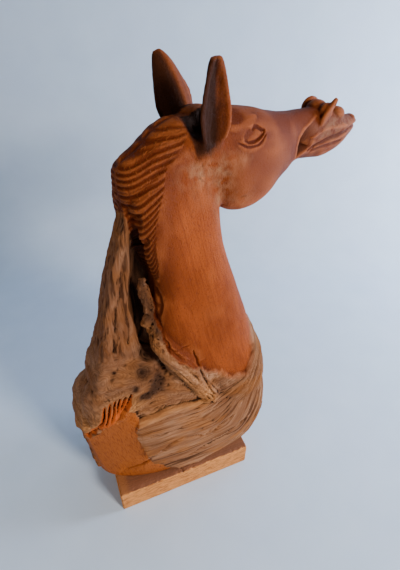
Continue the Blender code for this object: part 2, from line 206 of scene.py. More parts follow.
@dataclass(frozen=True)
class Spot:
    """A soft round place on the surface, in space or as seen from the side, and its strength."""

    centre: tuple[float, ...]
    radii: tuple[float, ...]
    strength: float = 1.0

    def at(self, points: Array) -> Array:
        """The strength at the centre, falling as a Gaussian to about a tenth at the radii."""
        offset = (points - np.asarray(self.centre)) / np.asarray(self.radii)
        return self.strength * np.exp(-2.2 * np.sum(offset**2, axis=1))


@dataclass(frozen=True)
class Noise:
    """Smooth noise that a seed settles: the small accidents of growth, weather and tools."""

    seed: int

    def at(self, points: Array) -> Array:
        """Value noise.

        Args:
            points: Rows of three numbers; the noise changes over a distance of about 1.

        Returns:
            Numbers from -1 to 1: random ones at whole-number corners, blended by S-curves.
        """
        values = np.random.default_rng(self.seed).uniform(-1.0, 1.0, TABLE_SIZE)
        cell = np.floor(points).astype(np.int64)
        t = points - cell
        t = t * t * (3.0 - 2.0 * t)
        total = np.zeros(len(points))
        for corner in itertools.product((0, 1), repeat=3):
            x, y, z = (cell + corner).T
            mixed = (x * PRIMES[0]) ^ (y * PRIMES[1]) ^ (z * PRIMES[2])
            mixed = (mixed ^ (mixed >> FOLD)) & (TABLE_SIZE - 1)
            total += values[mixed] * np.prod(np.where(corner, t, 1.0 - t), axis=1)
        return total

    def layered(self, points: Array, layers: int) -> Array:
        """Noise with finer noise on it, each layer twice as fine and half as strong."""
        return sum(0.5**k * self.at(points * 2.0**k + LAYER_SHIFT * k) for k in range(layers))

    def ridged(self, points: Array, layers: int) -> Array:
        """Sharp crests with round valleys between them: 1 less twice the noise's size, layered."""
        total = np.zeros(len(points))
        for k in range(layers):
            total += 0.5**k * (1.0 - 2.0 * np.abs(self.at(points * 2.0**k + CREST_SHIFT * k)))
        return total


@dataclass(frozen=True)
class Place:
    """Points of the surface before the neck is turned, and which way the surface faces there."""

    points: Array
    normals: Array

    @property
    def x(self) -> Array:
        """How far forward the points are."""
        return self.points[:, 0]

    @property
    def y(self) -> Array:
        """How far to the far side the points are."""
        return self.points[:, 1]

    @property
    def z(self) -> Array:
        """How high the points are."""
        return self.points[:, 2]

    @property
    def flank(self) -> Array:
        """The points as seen from the side: x and z."""
        return self.points[:, [0, 2]]

    def near(self, start: float = -2.0, end: float = -12.0) -> Array:
        """1 on the near side and 0 on the far side, climbing between these two y."""
        return smooth_step(self.points[:, 1], start, end)

    def stretched(self, x: float, y: float, z: float) -> Array:
        """The points divided by the size that noise should have along each axis."""
        return self.points / np.array([x, y, z])


def superellipse(power: float, count: int) -> tuple[Array, Array]:
    """Points once round a rounded box.

    Args:
        power: 2 for a circle, larger for a squarer one.
        count: How many points.

    Returns:
        The cosine and the sine of evenly spaced angles, each to the power of 2 / power.
    """
    angle = np.linspace(0.0, 2.0 * math.pi, count, endpoint=False)
    cos, sin = np.cos(angle), np.sin(angle)
    share = 2.0 / power
    return np.sign(cos) * np.abs(cos) ** share, np.sign(sin) * np.abs(sin) ** share


@dataclass(frozen=True)
class Form:
    """A closed body of rings that stand across the middle plane.

    Each row holds the two ends of a ring's long axis, as x and z, and its half width.
    """

    rows: Rows
    power: float
    shift: float = 0.0
    back_power: float = 0.0

    def rings(self) -> Array:
        """The surface as rings: centre + half axis * cosine along it, + half width * sine across."""
        along, across = superellipse(self.power, RING_POINTS)
        if self.back_power:
            back_along, back_across = superellipse(self.back_power, RING_POINTS)
            behind = back_along < 0.0
            along, across = np.where(behind, back_along, along), np.where(behind, back_across, across)
        x0, z0, x1, z1, half = (column[:, None] for column in through(self.rows, RINGS_BETWEEN).T)
        x = (x0 + x1) / 2 + (x1 - x0) / 2 * along
        z = (z0 + z1) / 2 + (z1 - z0) / 2 * along
        return np.stack([x, self.shift + half * across, z], axis=-1)


def upright(rows: Rows, power: float, shift: float = 0.0, back_power: float = 0.0) -> Form:
    """A form of level rings, from rows of a height, a back x, a front x and a half width."""
    rings = tuple((back, z, front, z, half) for z, back, front, half in rows)
    return Form(rings, power, shift, back_power)


@dataclass(frozen=True)
class Leaf:
    """A cupped leaf, as an ear or a nostril's flap is: it grows from its root to its tip."""

    root: Point
    tip: Point
    opening: Point
    half_width: float
    half_thickness: float
    cup: float
    bow: float
    outline: Rows
    flank: Flank
    sway: float = 0.0
    sway_until: float = 0.4
    power: float = 2.5

    def axes(self) -> tuple[Array, Array, Array, Array]:
        """The root, the unit axis, the unit way across and the unit way out of the opening."""
        flip = np.array([1.0, -float(self.flank.value), 1.0])
        root, tip, opening = (np.array(v) * flip for v in (self.root, self.tip, self.opening))
        axis = (tip - root) / np.linalg.norm(tip - root)
        out = opening - (opening @ axis) * axis
        out /= np.linalg.norm(out)
        return root, axis, np.cross(axis, out), out

    @property
    def length(self) -> float:
        """The length from the root to the tip."""
        return math.dist(self.root, self.tip)

    def rings(self) -> Array:
        """The surface as rings: a rounded box, narrowed by the outline, cupped by the square of its
        cosine, bowed back by a sine along the axis and swayed by a square at its root."""
        root, axis, across, out = self.axes()
        t, leaf = (column[:, None] for column in through(self.outline, RINGS_BETWEEN).T)
        cos, sin = superellipse(self.power, RING_POINTS)
        p = self.half_width * leaf * cos + self.swayed(t)
        q = self.half_thickness * np.sqrt(leaf) * sin + self.cup * leaf * (cos**2 - 0.5)
        q = q - self.bow * np.sin(math.pi * t)
        return root + (t * self.length)[..., None] * axis + p[..., None] * across + q[..., None] * out

    def swayed(self, t: Array) -> Array:
        """How far the leaf's middle line lies across its axis."""
        return self.sway * self.flank.value * np.clip(1.0 - t / self.sway_until, 0.0, 1.0) ** 2

    def local(self, points: Array) -> tuple[Array, Array, Array]:
        """Points in the leaf's own terms.

        Args:
            points: Points of the surface.

        Returns:
            The share of the way to the tip, and the distances across and out.
        """
        root, axis, across, out = self.axes()
        offset = points - root
        t = offset @ axis / self.length
        return t, offset @ across - self.swayed(t), offset @ out


@dataclass(frozen=True)
class Swelling:
    """An ellipsoid that is fused with the forms around it."""

    centre: Point
    radii: Point
    # How near the rings come to the poles, in half turns, and the steps from pole to pole and round.
    pole: float = 0.49
    steps: tuple[int, int] = (28, 48)

    def rings(self) -> Array:
        """The surface as rings: latitude by longitude, from pole to pole."""
        latitude = np.linspace(-self.pole, self.pole, self.steps[0])[:, None] * math.pi
        longitude = np.linspace(0.0, 2.0 * math.pi, self.steps[1], endpoint=False)
        unit = [np.cos(latitude) * np.cos(longitude), np.cos(latitude) * np.sin(longitude)]
        unit.append(np.sin(latitude) * np.ones_like(longitude))
        return np.asarray(self.centre) + np.asarray(self.radii) * np.stack(unit, axis=-1)


def tube_mesh(name: str, tubes: list[Array]) -> Mesh:
    """One mesh of closed tubes.

    Args:
        name: The mesh's name.
        tubes: For each tube its rings, as an array of ring, point and coordinate.

    Returns:
        Quads between neighbouring rings and a fan to a hub at both ends, facing outwards.
    """
    vertices: list[Array] = []
    faces: list[list[int]] = []
    start = 0
    for rings in tubes:
        count, size = rings.shape[:2]
        index = start + np.arange(count * size).reshape(count, size)
        following = np.roll(index, -1, axis=1)
        quads = np.stack([index[:-1], following[:-1], following[1:], index[1:]], axis=-1)
        low, high = start + count * size, start + count * size + 1
        bottom = np.stack([following[0], index[0], np.full(size, low)], axis=-1)
        top = np.stack([index[-1], following[-1], np.full(size, high)], axis=-1)
        points = np.vstack([rings.reshape(-1, 3), rings[0].mean(axis=0), rings[-1].mean(axis=0)])
        corners = points[quads.reshape(-1, 4) - start]
        volume = np.einsum("ij,ij->i", corners[:, 0], np.cross(corners[:, 1], corners[:, 3])).sum()
        turn = 1 if volume > 0 else -1
        for group in (quads.reshape(-1, 4), bottom, top):
            faces += group[:, ::turn].tolist()
        vertices.append(points)
        start = high + 1
    mesh = bpy.data.meshes.new(name)
    mesh.from_pydata(np.vstack(vertices).tolist(), [], faces)
    mesh.update()
    return mesh


def placed(name: str, data: bpy.types.ID) -> Object:
    """Puts an object of this mesh, light or camera in the scene."""
    obj = bpy.data.objects.new(name, data)
    bpy.context.scene.collection.objects.link(obj)
    return obj


def after_modifier(mesh: Mesh, kind: str, settings: dict[str, object]) -> Mesh:
    """What a modifier makes of a mesh.

    Args:
        mesh: The mesh it works on.
        kind: The modifier's type.
        settings: The modifier's settings, by name.

    Returns:
        A new mesh.
    """
    obj = placed("bench", mesh)
    modifier = obj.modifiers.new(kind, kind)
    for name, value in settings.items():
        setattr(modifier, name, value)
    graph = bpy.context.evaluated_depsgraph_get()
    result = bpy.data.meshes.new_from_object(obj.evaluated_get(graph))
    bpy.data.objects.remove(obj)
    return result


def points_of(mesh: Mesh) -> Array:
    """The mesh's points, one row each."""
    flat = np.empty(len(mesh.vertices) * 3, np.float32)
    mesh.vertices.foreach_get("co", flat)
    return flat.reshape(-1, 3).astype(float)


def normals_of(mesh: Mesh) -> Array:
    """The mesh's unit normals, one row for each point."""
    flat = np.empty(len(mesh.vertices) * 3, np.float32)
    mesh.vertex_normals.foreach_get("vector", flat)
    return flat.reshape(-1, 3).astype(float)


def move_points(mesh: Mesh, points: Array) -> None:
    """Puts the mesh's points at these places."""
    mesh.vertices.foreach_set("co", points.astype(np.float32).ravel())
    mesh.update()


def edges_of(mesh: Mesh) -> Array:
    """The mesh's edges as pairs of point numbers."""
    edges = np.empty(len(mesh.edges) * 2, np.int32)
    mesh.edges.foreach_get("vertices", edges)
    return edges.reshape(-1, 2)


def smoothed(mesh: Mesh, values: Array, pulls: tuple[float, ...]) -> Array:
    """Numbers at the mesh's points after each has been drawn towards its neighbours' mean.

    Args:
        mesh: The mesh whose edges say which points are neighbours.
        values: One row for each point.
        pulls: The part of the way moved in each round; a negative one moves away.

    Returns:
        The new rows.
    """
    a, b = edges_of(mesh).T
    count = len(mesh.vertices)
    degree = (np.bincount(a, minlength=count) + np.bincount(b, minlength=count))[:, None]
    result = values.copy()
    for pull in pulls:
        sums = [
            np.bincount(a, column[b], count) + np.bincount(b, column[a], count) for column in result.T
        ]
        result += pull * (np.stack(sums, axis=1) / degree - result)
    return result


def melted(mesh: Mesh, points: Array, share: Array, rounds: int) -> Array:
    """Points where a form's crease has been rubbed away.

    Args:
        mesh: The mesh whose edges say which points are neighbours.
        points: Its points.
        share: Half the part of the way that each point moves to its neighbours' mean in a round.
        rounds: How many rounds.

    Returns:
        The new points; those with no share stay.
    """
    a, b = edges_of(mesh).T
    touched = (share[a] > 0.0) | (share[b] > 0.0)
    used, pairs = np.unique(np.concatenate([a[touched], b[touched]]), return_inverse=True)
    a, b = pairs.reshape(2, -1)
    degree = np.bincount(pairs)[:, None]
    moving, pull = points[used], 0.5 * share[used][:, None]
    for _ in range(rounds):
        sums = [np.bincount(a, c[b], len(used)) + np.bincount(b, c[a], len(used)) for c in moving.T]
        moving = moving + pull * (np.stack(sums, axis=1) / degree - moving)
    result = points.copy()
    result[used] = moving
    return result


@dataclass(frozen=True)
class Mane:
    """The mane's locks: round backs between sharp knife cuts, combed from its root to its tips."""

    # Each row: a furrow's number, a point of the root line and one of the tip line, as x and z.
    rows: Rows = (
        (-3, 17, 350, 8, 352),
        (-2, 17.5, 347, -4, 346),
        (-1, 17, 343.5, -19, 338),
        (0, 15, 340, -29, 328),
        (1.5, 6, 333, -31.5, 322.5),
        (3, -4, 326, -32, 316),
        (5.5, -9, 314, -30.5, 300),
        (8.5, -15, 300, -28, 285),
        (11.5, -16.5, 286, -23.5, 269),
        (14.5, -16, 272, -18, 254),
        (17.5, -12.5, 258, -13.5, 243),
        (19.5, -11, 246, -11.5, 236),
    )
    pitch: float = 5.4
    furrow_width: float = 1.5
    furrow_depth: float = 1.05
    back_height: float = 0.9
    strand_share: float = 0.4
    # The strokes begin shallow over the poll: the first one's share, and what each number adds.
    first_share: float = 0.35
    share_step: float = 0.2
    sag: float = 0.05
    tip_cut: Rows = ((-28.5, 324), (-28, 312), (-25.5, 298), (-21, 280), (-17, 266))
    tip_cut_width: float = 1.2
    tip_cut_share: float = 0.5
    raised: float = 1.0
    # Where the mane begins: at its roots, tips, foot, poll, front and beside the middle plane.
    root_edge: Span = (-0.2, 1.0)
    tip_edge: Span = (-3.0, -0.5)
    foot_edge: Span = (237.0, 243.0)
    poll_edge: Span = (357.0, 352.0)
    front_edge: Span = (21.0, 17.5)
    middle_edge: Span = (0.5, 3.0)
    # No stroke reaches in front of this x or below this z.
    stroke_limits: Span = (24.0, 232.0)

    def comb(self, place: Place) -> tuple[Array, Array, Array]:
        """Where points lie in the combed hair.

        Args:
            place: The points.

        Returns:
            The furrow's number, counted from the poll down, the distance from the root line, and
            a share that is 1 inside the mane.
        """
        flank = place.flank
        rows = np.asarray(self.rows, float)
        to_root, root_along = near_line(flank, rows[:, 1:3])
        to_tip, tip_along = near_line(flank, rows[:, 3:5])
        roots, tips = (self.row_lengths(rows[:, k : k + 2]) for k in (1, 3))
        across = np.abs(to_root) / (np.abs(to_root) + np.abs(to_tip) + TINY)
        number = (1.0 - across) * np.interp(root_along, roots, rows[:, 0])
        number += across * np.interp(tip_along, tips, rows[:, 0])
        inside = smooth_step(-to_root, *self.root_edge) * smooth_step(to_tip, *self.tip_edge)
        inside *= smooth_step(flank[:, 1], *self.foot_edge) * smooth_step(flank[:, 1], *self.poll_edge)
        inside *= smooth_step(flank[:, 0], *self.front_edge)
        beside = smooth_step(np.abs(place.y), *self.middle_edge)
        return number, np.abs(to_root), inside * beside

    @staticmethod
    def row_lengths(line: Array) -> Array:
        """The length of line before each of its corners."""
        return np.concatenate([[0.0], np.cumsum(np.linalg.norm(np.diff(line, axis=0), axis=1))])

    def strokes(self) -> list[tuple[Rows, float]]:
        """The knife's strokes, each with its share of the full depth: finer ones lie between."""
        rows = np.asarray(self.rows, float)
        numbers = np.arange(rows[0, 0], rows[-1, 0] + 0.1, 0.5)
        ends = np.stack([np.interp(numbers, rows[:, 0], rows[:, k]) for k in range(1, 5)], axis=1)
        strokes = []
        for number, (root_x, root_z, tip_x, tip_z) in zip(numbers, ends):
            middle = ((root_x + tip_x) / 2, (root_z + tip_z) / 2 + self.sag * (root_x - tip_x))
            share = 1.0 if number == round(number) else self.strand_share
            share *= min(1.0, self.first_share + self.share_step * (number - rows[0, 0]))
            strokes.append((((root_x, root_z), middle, (tip_x, tip_z)), share))
        return strokes

    def furrows(self, place: Place) -> tuple[Array, Array]:
        """The V cuts, 1 at the bottom of a full one, and the same with the locks' round backs."""
        flank = place.flank
        narrow, wide = np.zeros(len(flank)), np.zeros(len(flank))
        region = (flank[:, 0] < self.stroke_limits[0]) & (flank[:, 1] > self.stroke_limits[1])
        near = flank[region] + 0.5 * Noise(11).at(place.stretched(9, 30, 9)[region])[:, None]
        for line, share in self.strokes():
            gap = np.abs(near_line(near, line)[0])
            cut = share * np.clip(1.0 - gap / self.furrow_width, 0.0, 1.0)
            lock = share * np.clip(1.0 - 2.0 * gap / self.pitch, 0.0, 1.0)
            narrow[region] = np.maximum(narrow[region], cut)
            wide[region] = np.maximum(wide[region], lock)
        tips = self.tip_cut_share * groove(flank, self.tip_cut, self.tip_cut_width)
        return np.maximum(narrow, tips), wide

    def relief(self, place: Place) -> Array:
        """Locks with round backs between the V cuts."""
        inside = self.comb(place)[2]
        narrow, wide = self.furrows(place)
        depth = self.furrow_depth * (1.0 + 0.4 * Noise(12).at(place.stretched(22, 40, 9)))
        return inside * (self.raised - depth * narrow - self.back_height * wide**1.5)


@dataclass(frozen=True)
class Face:
    """The knife work on the head: eyes, brow, hollow behind the nose, lips and nostrils."""

    eye: tuple[float, float] = (68.5, 334.2)
    eye_tilt: float = math.radians(12.0)
    eye_half_length: float = 8.0
    eye_half_height: float = 3.6
    lower_lid: Rows = ((52, 333), (55, 331.5), (60, 329), (65, 328), (71, 328), (76, 330), (81, 333.5))
    upper_lid: Rows = ((67.5, 338.4), (71, 339.6), (74, 339.0), (77, 337), (80.5, 336))
    under_eye: Rows = ((80, 335.8), (77, 333.4), (73, 332), (68, 331), (63, 331.2), (59, 333))
    behind_eye: Rows = ((59, 333), (59.5, 335.5), (62.5, 337.5), (66, 338.6))
    lid_depth: float = 1.5
    ball_rise: float = 0.3
    ball_depth: float = 0.6
    # How high the lower lid and the brow swell, and how far each reaches.
    swell: float = 0.5
    lid_reach: float = 4.5
    brow_reach: float = 4.0
    brow: Rows = ((49, 341), (61, 343.5), (77, 345))
    temple: Spot = Spot((57, 347.5), (11, 5.5), 1.4)
    # Where the cheeks' cuts begin beside the middle plane, the lips' cuts, and the mouth's front.
    cheek_edge: Span = (4.0, 8.0)
    lip_edge: Span = (1.0, 4.0)
    mouth_front: Span = (196.0, 204.0)
    hollow_rim: Rows = (
        (131, 298.5), (127, 307), (125, 314), (128, 319.5), (135, 323.5), (143, 326.5), (153, 330)
    )
    hollow_front: Rows = (
        (133, 297.5), (147, 303), (150.5, 309.5), (153, 315.5), (158, 319.5), (164, 323), (171, 328.5)
    )
    hollow_depth: float = 8.0
    # The scoop's section: powers of the share across it and of that share's sine.
    scoop_lead: float = 0.62
    scoop_fullness: float = 0.6
    # How far along its rim the scoop begins and starts to end, and the low bead along the rim.
    scoop_start: float = 3.0
    scoop_ends_from: float = 22.0
    bead_height: float = 0.1
    bead_at: float = 1.2
    bead_spread: float = 1.6
    bead_start: float = 6.0
    lip_setback: float = 1.2
    upper_lip: Rows = ((149, 315), (163, 318.5), (177, 318.5), (200, 316.5))
    mouth: Rows = ((147, 304.5), (153, 306.5), (164, 308), (176, 310), (199, 311.5), (208, 312.5))
    lower_lip: Rows = ((153, 302.5), (163, 304.5), (179, 304), (193, 304.5))
    lip_ridge: Rows = ((156, 305.5), (170, 307.5), (186, 308), (200, 309))
    slit: Rows = ((172.2, 339), (172.8, 335), (174.6, 331.5))
    slit_depth: float = 4.5
    slit_foot: Spot = Spot((175.5, -12, 331.0), (2.8, 8, 2.6), 2.5)
    far_nostril: Spot = Spot((176.0, 14.5, 335.5), (2.4, 3.5, 2.4), 2.2)
    nose_dot: Spot = Spot((192, -7, 327.5), (1.6, 4, 1.6), 1.4)
    mouth_nick: Rows = ((151, 301.5), (156, 305.5))
    # Between the lips, at this height and this broad, the mouth is cut in this deep.
    gape_height: float = 312.3
    gape_spread: float = 1.9
    gape_depth: float = 2.6
    # Where the lower lip's set-back climbs along the jaw, and where it ends below the upper lip.
    setback_front: Span = (197.0, 215.0)
    setback_top: Span = (315.5, 313.0)

    def relief(self, place: Place) -> Array:
        """The sum of the cuts, each kept off the middle plane, where both sides meet."""
        beside = smooth_step(np.abs(place.y), *self.cheek_edge)
        cuts = beside * (self.eyes(place) - self.hollow_depth * self.nose_hollow(place))
        return cuts + self.beside_middle(place) * self.lips(place) - self.knife_lines(place)

    def eyes(self, place: Place) -> Array:
        """A sunken ball with a flat dome, swollen lids and brow, and the hollow of the temple."""
        flank = place.flank
        x, z = flank.T
        cos, sin = math.cos(self.eye_tilt), math.sin(self.eye_tilt)
        u = ((x - self.eye[0]) * cos + (z - self.eye[1]) * sin) / self.eye_half_length
        v = ((z - self.eye[1]) * cos - (x - self.eye[0]) * sin) / self.eye_half_height
        away = np.hypot(u, v)
        ball = self.ball_rise * smooth_step(away, 1.0, 0.2)
        ball -= self.ball_depth * smooth_step(away, 1.3, 0.95)
        lid = groove(flank, self.lower_lid, self.lid_reach)
        brow = groove(flank, self.brow, self.brow_reach)
        return ball + self.swell * (lid + brow) - self.temple.at(flank)

    def knife_lines(self, place: Place) -> Array:
        """How deep the thin lines are that a knife drew round the eyes, the lips and the nostrils."""
        flank = place.flank
        across = np.abs(place.y)
        around_eye = self.lid_depth * smooth_step(across, *self.cheek_edge)
        total = np.zeros(len(flank))
        for line, width, depth in (
            (self.lower_lid, 1.2, around_eye),
            (self.upper_lid, 1.5, 1.2 * around_eye),
            (self.under_eye, 1.2, around_eye),
            (self.behind_eye, 1.2, 0.35 * around_eye),
            (self.mouth, 2.6, 1.6 * self.beside_middle(place)),
            (self.lower_lip, 2.2, 0.9 * self.beside_middle(place)),
            (self.slit, 3.6, self.slit_depth * place.near(-3.0, -8.0)),
        ):
            total = np.maximum(total, depth * groove(flank, line, width, 0.6) ** 0.8)
        return total

    def beside_middle(self, place: Place) -> Array:
        """1 on the cheeks and round the mouth's front, 0 on the nose's and the jaw's middle line."""
        across = smooth_step(np.abs(place.y), *self.lip_edge)
        return np.maximum(across, smooth_step(place.x, *self.mouth_front))

    def nose_hollow(self, place: Place) -> Array:
        """The scoop behind the nostril as a share of its depth: it drops at once behind its rim."""
        to_rim, along = near_line(place.flank, self.hollow_rim)
        to_front, _ = near_line(place.flank, self.hollow_front)
        inside = (to_rim < 0.0) & (to_front > 0.0)
        share = np.clip(-to_rim, 0.0, None) / (np.abs(to_rim) + np.abs(to_front) + TINY)
        end = smooth_step(along, 0.0, self.scoop_start)
        end = end * smooth_step(along, line_length(self.hollow_rim), self.scoop_ends_from)
        scoop = np.sin(math.pi * np.clip(share, 0.0, 1.0) ** self.scoop_lead) ** self.scoop_fullness
        bead = self.bead_height * bell(to_rim, self.bead_at, self.bead_spread)
        return np.where(inside, scoop * end, 0.0) - bead * smooth_step(along, 0.0, self.bead_start)

    def lips(self, place: Place) -> Array:
        """Ridges along the mouth, the nostrils' holes and the lower lip set back from the upper."""
        flank = place.flank
        near = place.near(-3.0, -8.0)
        lips = 1.2 * groove(flank, self.upper_lip, 3.4) + 1.1 * groove(flank, self.lip_ridge, 2.8)
        nick = 1.2 * groove(flank, self.mouth_nick, 1.6)
        holes = near * (self.slit_foot.at(place.points) + nick + self.nose_dot.at(place.points))
        gape = self.gape_depth * bell(flank[:, 1], self.gape_height, self.gape_spread)
        notch = smooth_step(flank[:, 0], *self.setback_front) * (gape + self.lip_setback)
        notch = notch * smooth_step(flank[:, 1], *self.setback_top)
        return lips - holes - self.far_nostril.at(place.points) - notch


@dataclass(frozen=True)
class EarCuts:
    """Tool work on the ears: a recess inside the opening and long flat cuts down the back."""

    ears: tuple[Leaf, ...]
    rim_width: float = 2.6
    recess_depth: float = 1.3
    slot_half: float = 4.2
    slot_depth: float = 1.2
    keel_at: float = 2.5
    keel_height: float = 4.2
    cut_width: float = 6.5
    cut_depth: float = 0.2
    # Where an ear begins over its root and ends at its tip, and the height its cuts begin at.
    root_edge: Span = (0.06, 0.18)
    tip_edge: Span = (1.03, 0.98)
    cuts_from: Span = (333.0, 341.0)
    # The shares of the way to the tip over which the slot opens and closes.
    slot_opens: Span = (0.12, 0.26)
    slot_closes: Span = (0.72, 0.42)
    # How far the surface faces out of the opening where its inside begins, and where the back does.
    facing_out: Span = (0.25, 0.6)
    facing_back: Span = (-0.05, -0.4)
    # The cuts begin this far from the middle plane, and end between these distances past the edge.
    off_middle: float = 4.0
    past_edge: Span = (4.0, 2.0)
    rim_slope: float = 3.0
    # How deep the chisel's chatter is in the recess and in the slot.
    recess_chatter: float = 0.45
    slot_chatter: float = 0.8

    def shares(self, place: Place, leaf: Leaf) -> tuple[Array, Array, Array, Array, Array]:
        """Where points lie on an ear.

        Args:
            place: The points.
            leaf: The ear.

        Returns:
            A share that is 1 on this ear, the share of the way to the tip, the distance forward
            across it, a share that is 1 inside its rim, and one that is 1 in its deep slot.
        """
        t, p, _ = leaf.local(place.points)
        forward = -leaf.flank.value * p
        facing = place.normals @ leaf.axes()[3]
        reach = leaf.half_width * np.interp(t, *np.asarray(leaf.outline, float).T)
        own = smooth_step(t, *self.root_edge) * smooth_step(t, *self.tip_edge)
        own = own * smooth_step(np.abs(p), reach + self.past_edge[0], reach + self.past_edge[1])
        own = own * (place.y * leaf.flank.value > self.off_middle)
        open_side = smooth_step(facing, *self.facing_out)
        rim = smooth_step(reach - np.abs(p), self.rim_width, self.rim_width + self.rim_slope)
        wander = 1.6 * Noise(22).at(place.stretched(6, 6, 9))
        slot = smooth_step(np.abs(forward - 1.0 + wander), self.slot_half, 0.4 * self.slot_half)
        slot = open_side * slot * smooth_step(t, *self.slot_opens) * smooth_step(t, *self.slot_closes)
        return own, t, forward, open_side * rim, slot

    def relief(self, place: Place) -> Array:
        """The sum for both ears, each in its own leaf's terms."""
        total = np.zeros(len(place.points))
        chisel = Noise(21).ridged(place.stretched(4, 4, 9), 2)
        for leaf in self.ears:
            own, t, forward, inside, slot = self.shares(place, leaf)
            above = smooth_step(place.z, *self.cuts_from)
            opened = (self.recess_depth - self.recess_chatter * chisel) * inside
            opened += (self.slot_depth + self.slot_chatter * chisel) * slot
            step = forward / self.cut_width + 0.15 * t + 0.3
            flats = np.abs(step - np.floor(step) - 0.5) * 2.0 - 0.5
            keel = self.keel_height * (0.5 - np.abs(forward - self.keel_at) / leaf.half_width)
            behind = smooth_step(place.normals @ leaf.axes()[3], *self.facing_back)
            behind *= smooth_step(t, 1.0, 0.8)
            total += own * above * (behind * (keel + self.cut_depth * flats) - opened)
        return total

    def stain_and_shade(self, place: Place) -> Array:
        """How dark the ears are: their own browner tone, painted shade behind the keel, inside and in
        the slot, and a painted highlight along the front rim.
        """
        total = np.zeros(len(place.points))
        for leaf in self.ears:
            own, _, forward, inside, slot = self.shares(place, leaf)
            # Painted highlight along the front rim, the side the light falls on.
            lit_rim = 0.4 * smooth_step(forward, 0.5 * leaf.half_width, 0.8 * leaf.half_width)
            # Painted shade behind the keel, on the side turned from the light.
            shaded_rear = 0.5 * smooth_step(forward, self.keel_at + 0.5, self.keel_at - 3.0)
            # Painted shade also inside the opening and in the slot, over the ears' own browner tone.
            total = np.maximum(total, own * (0.5 - lit_rim + shaded_rear + 0.1 * inside + 0.3 * slot))
        return total


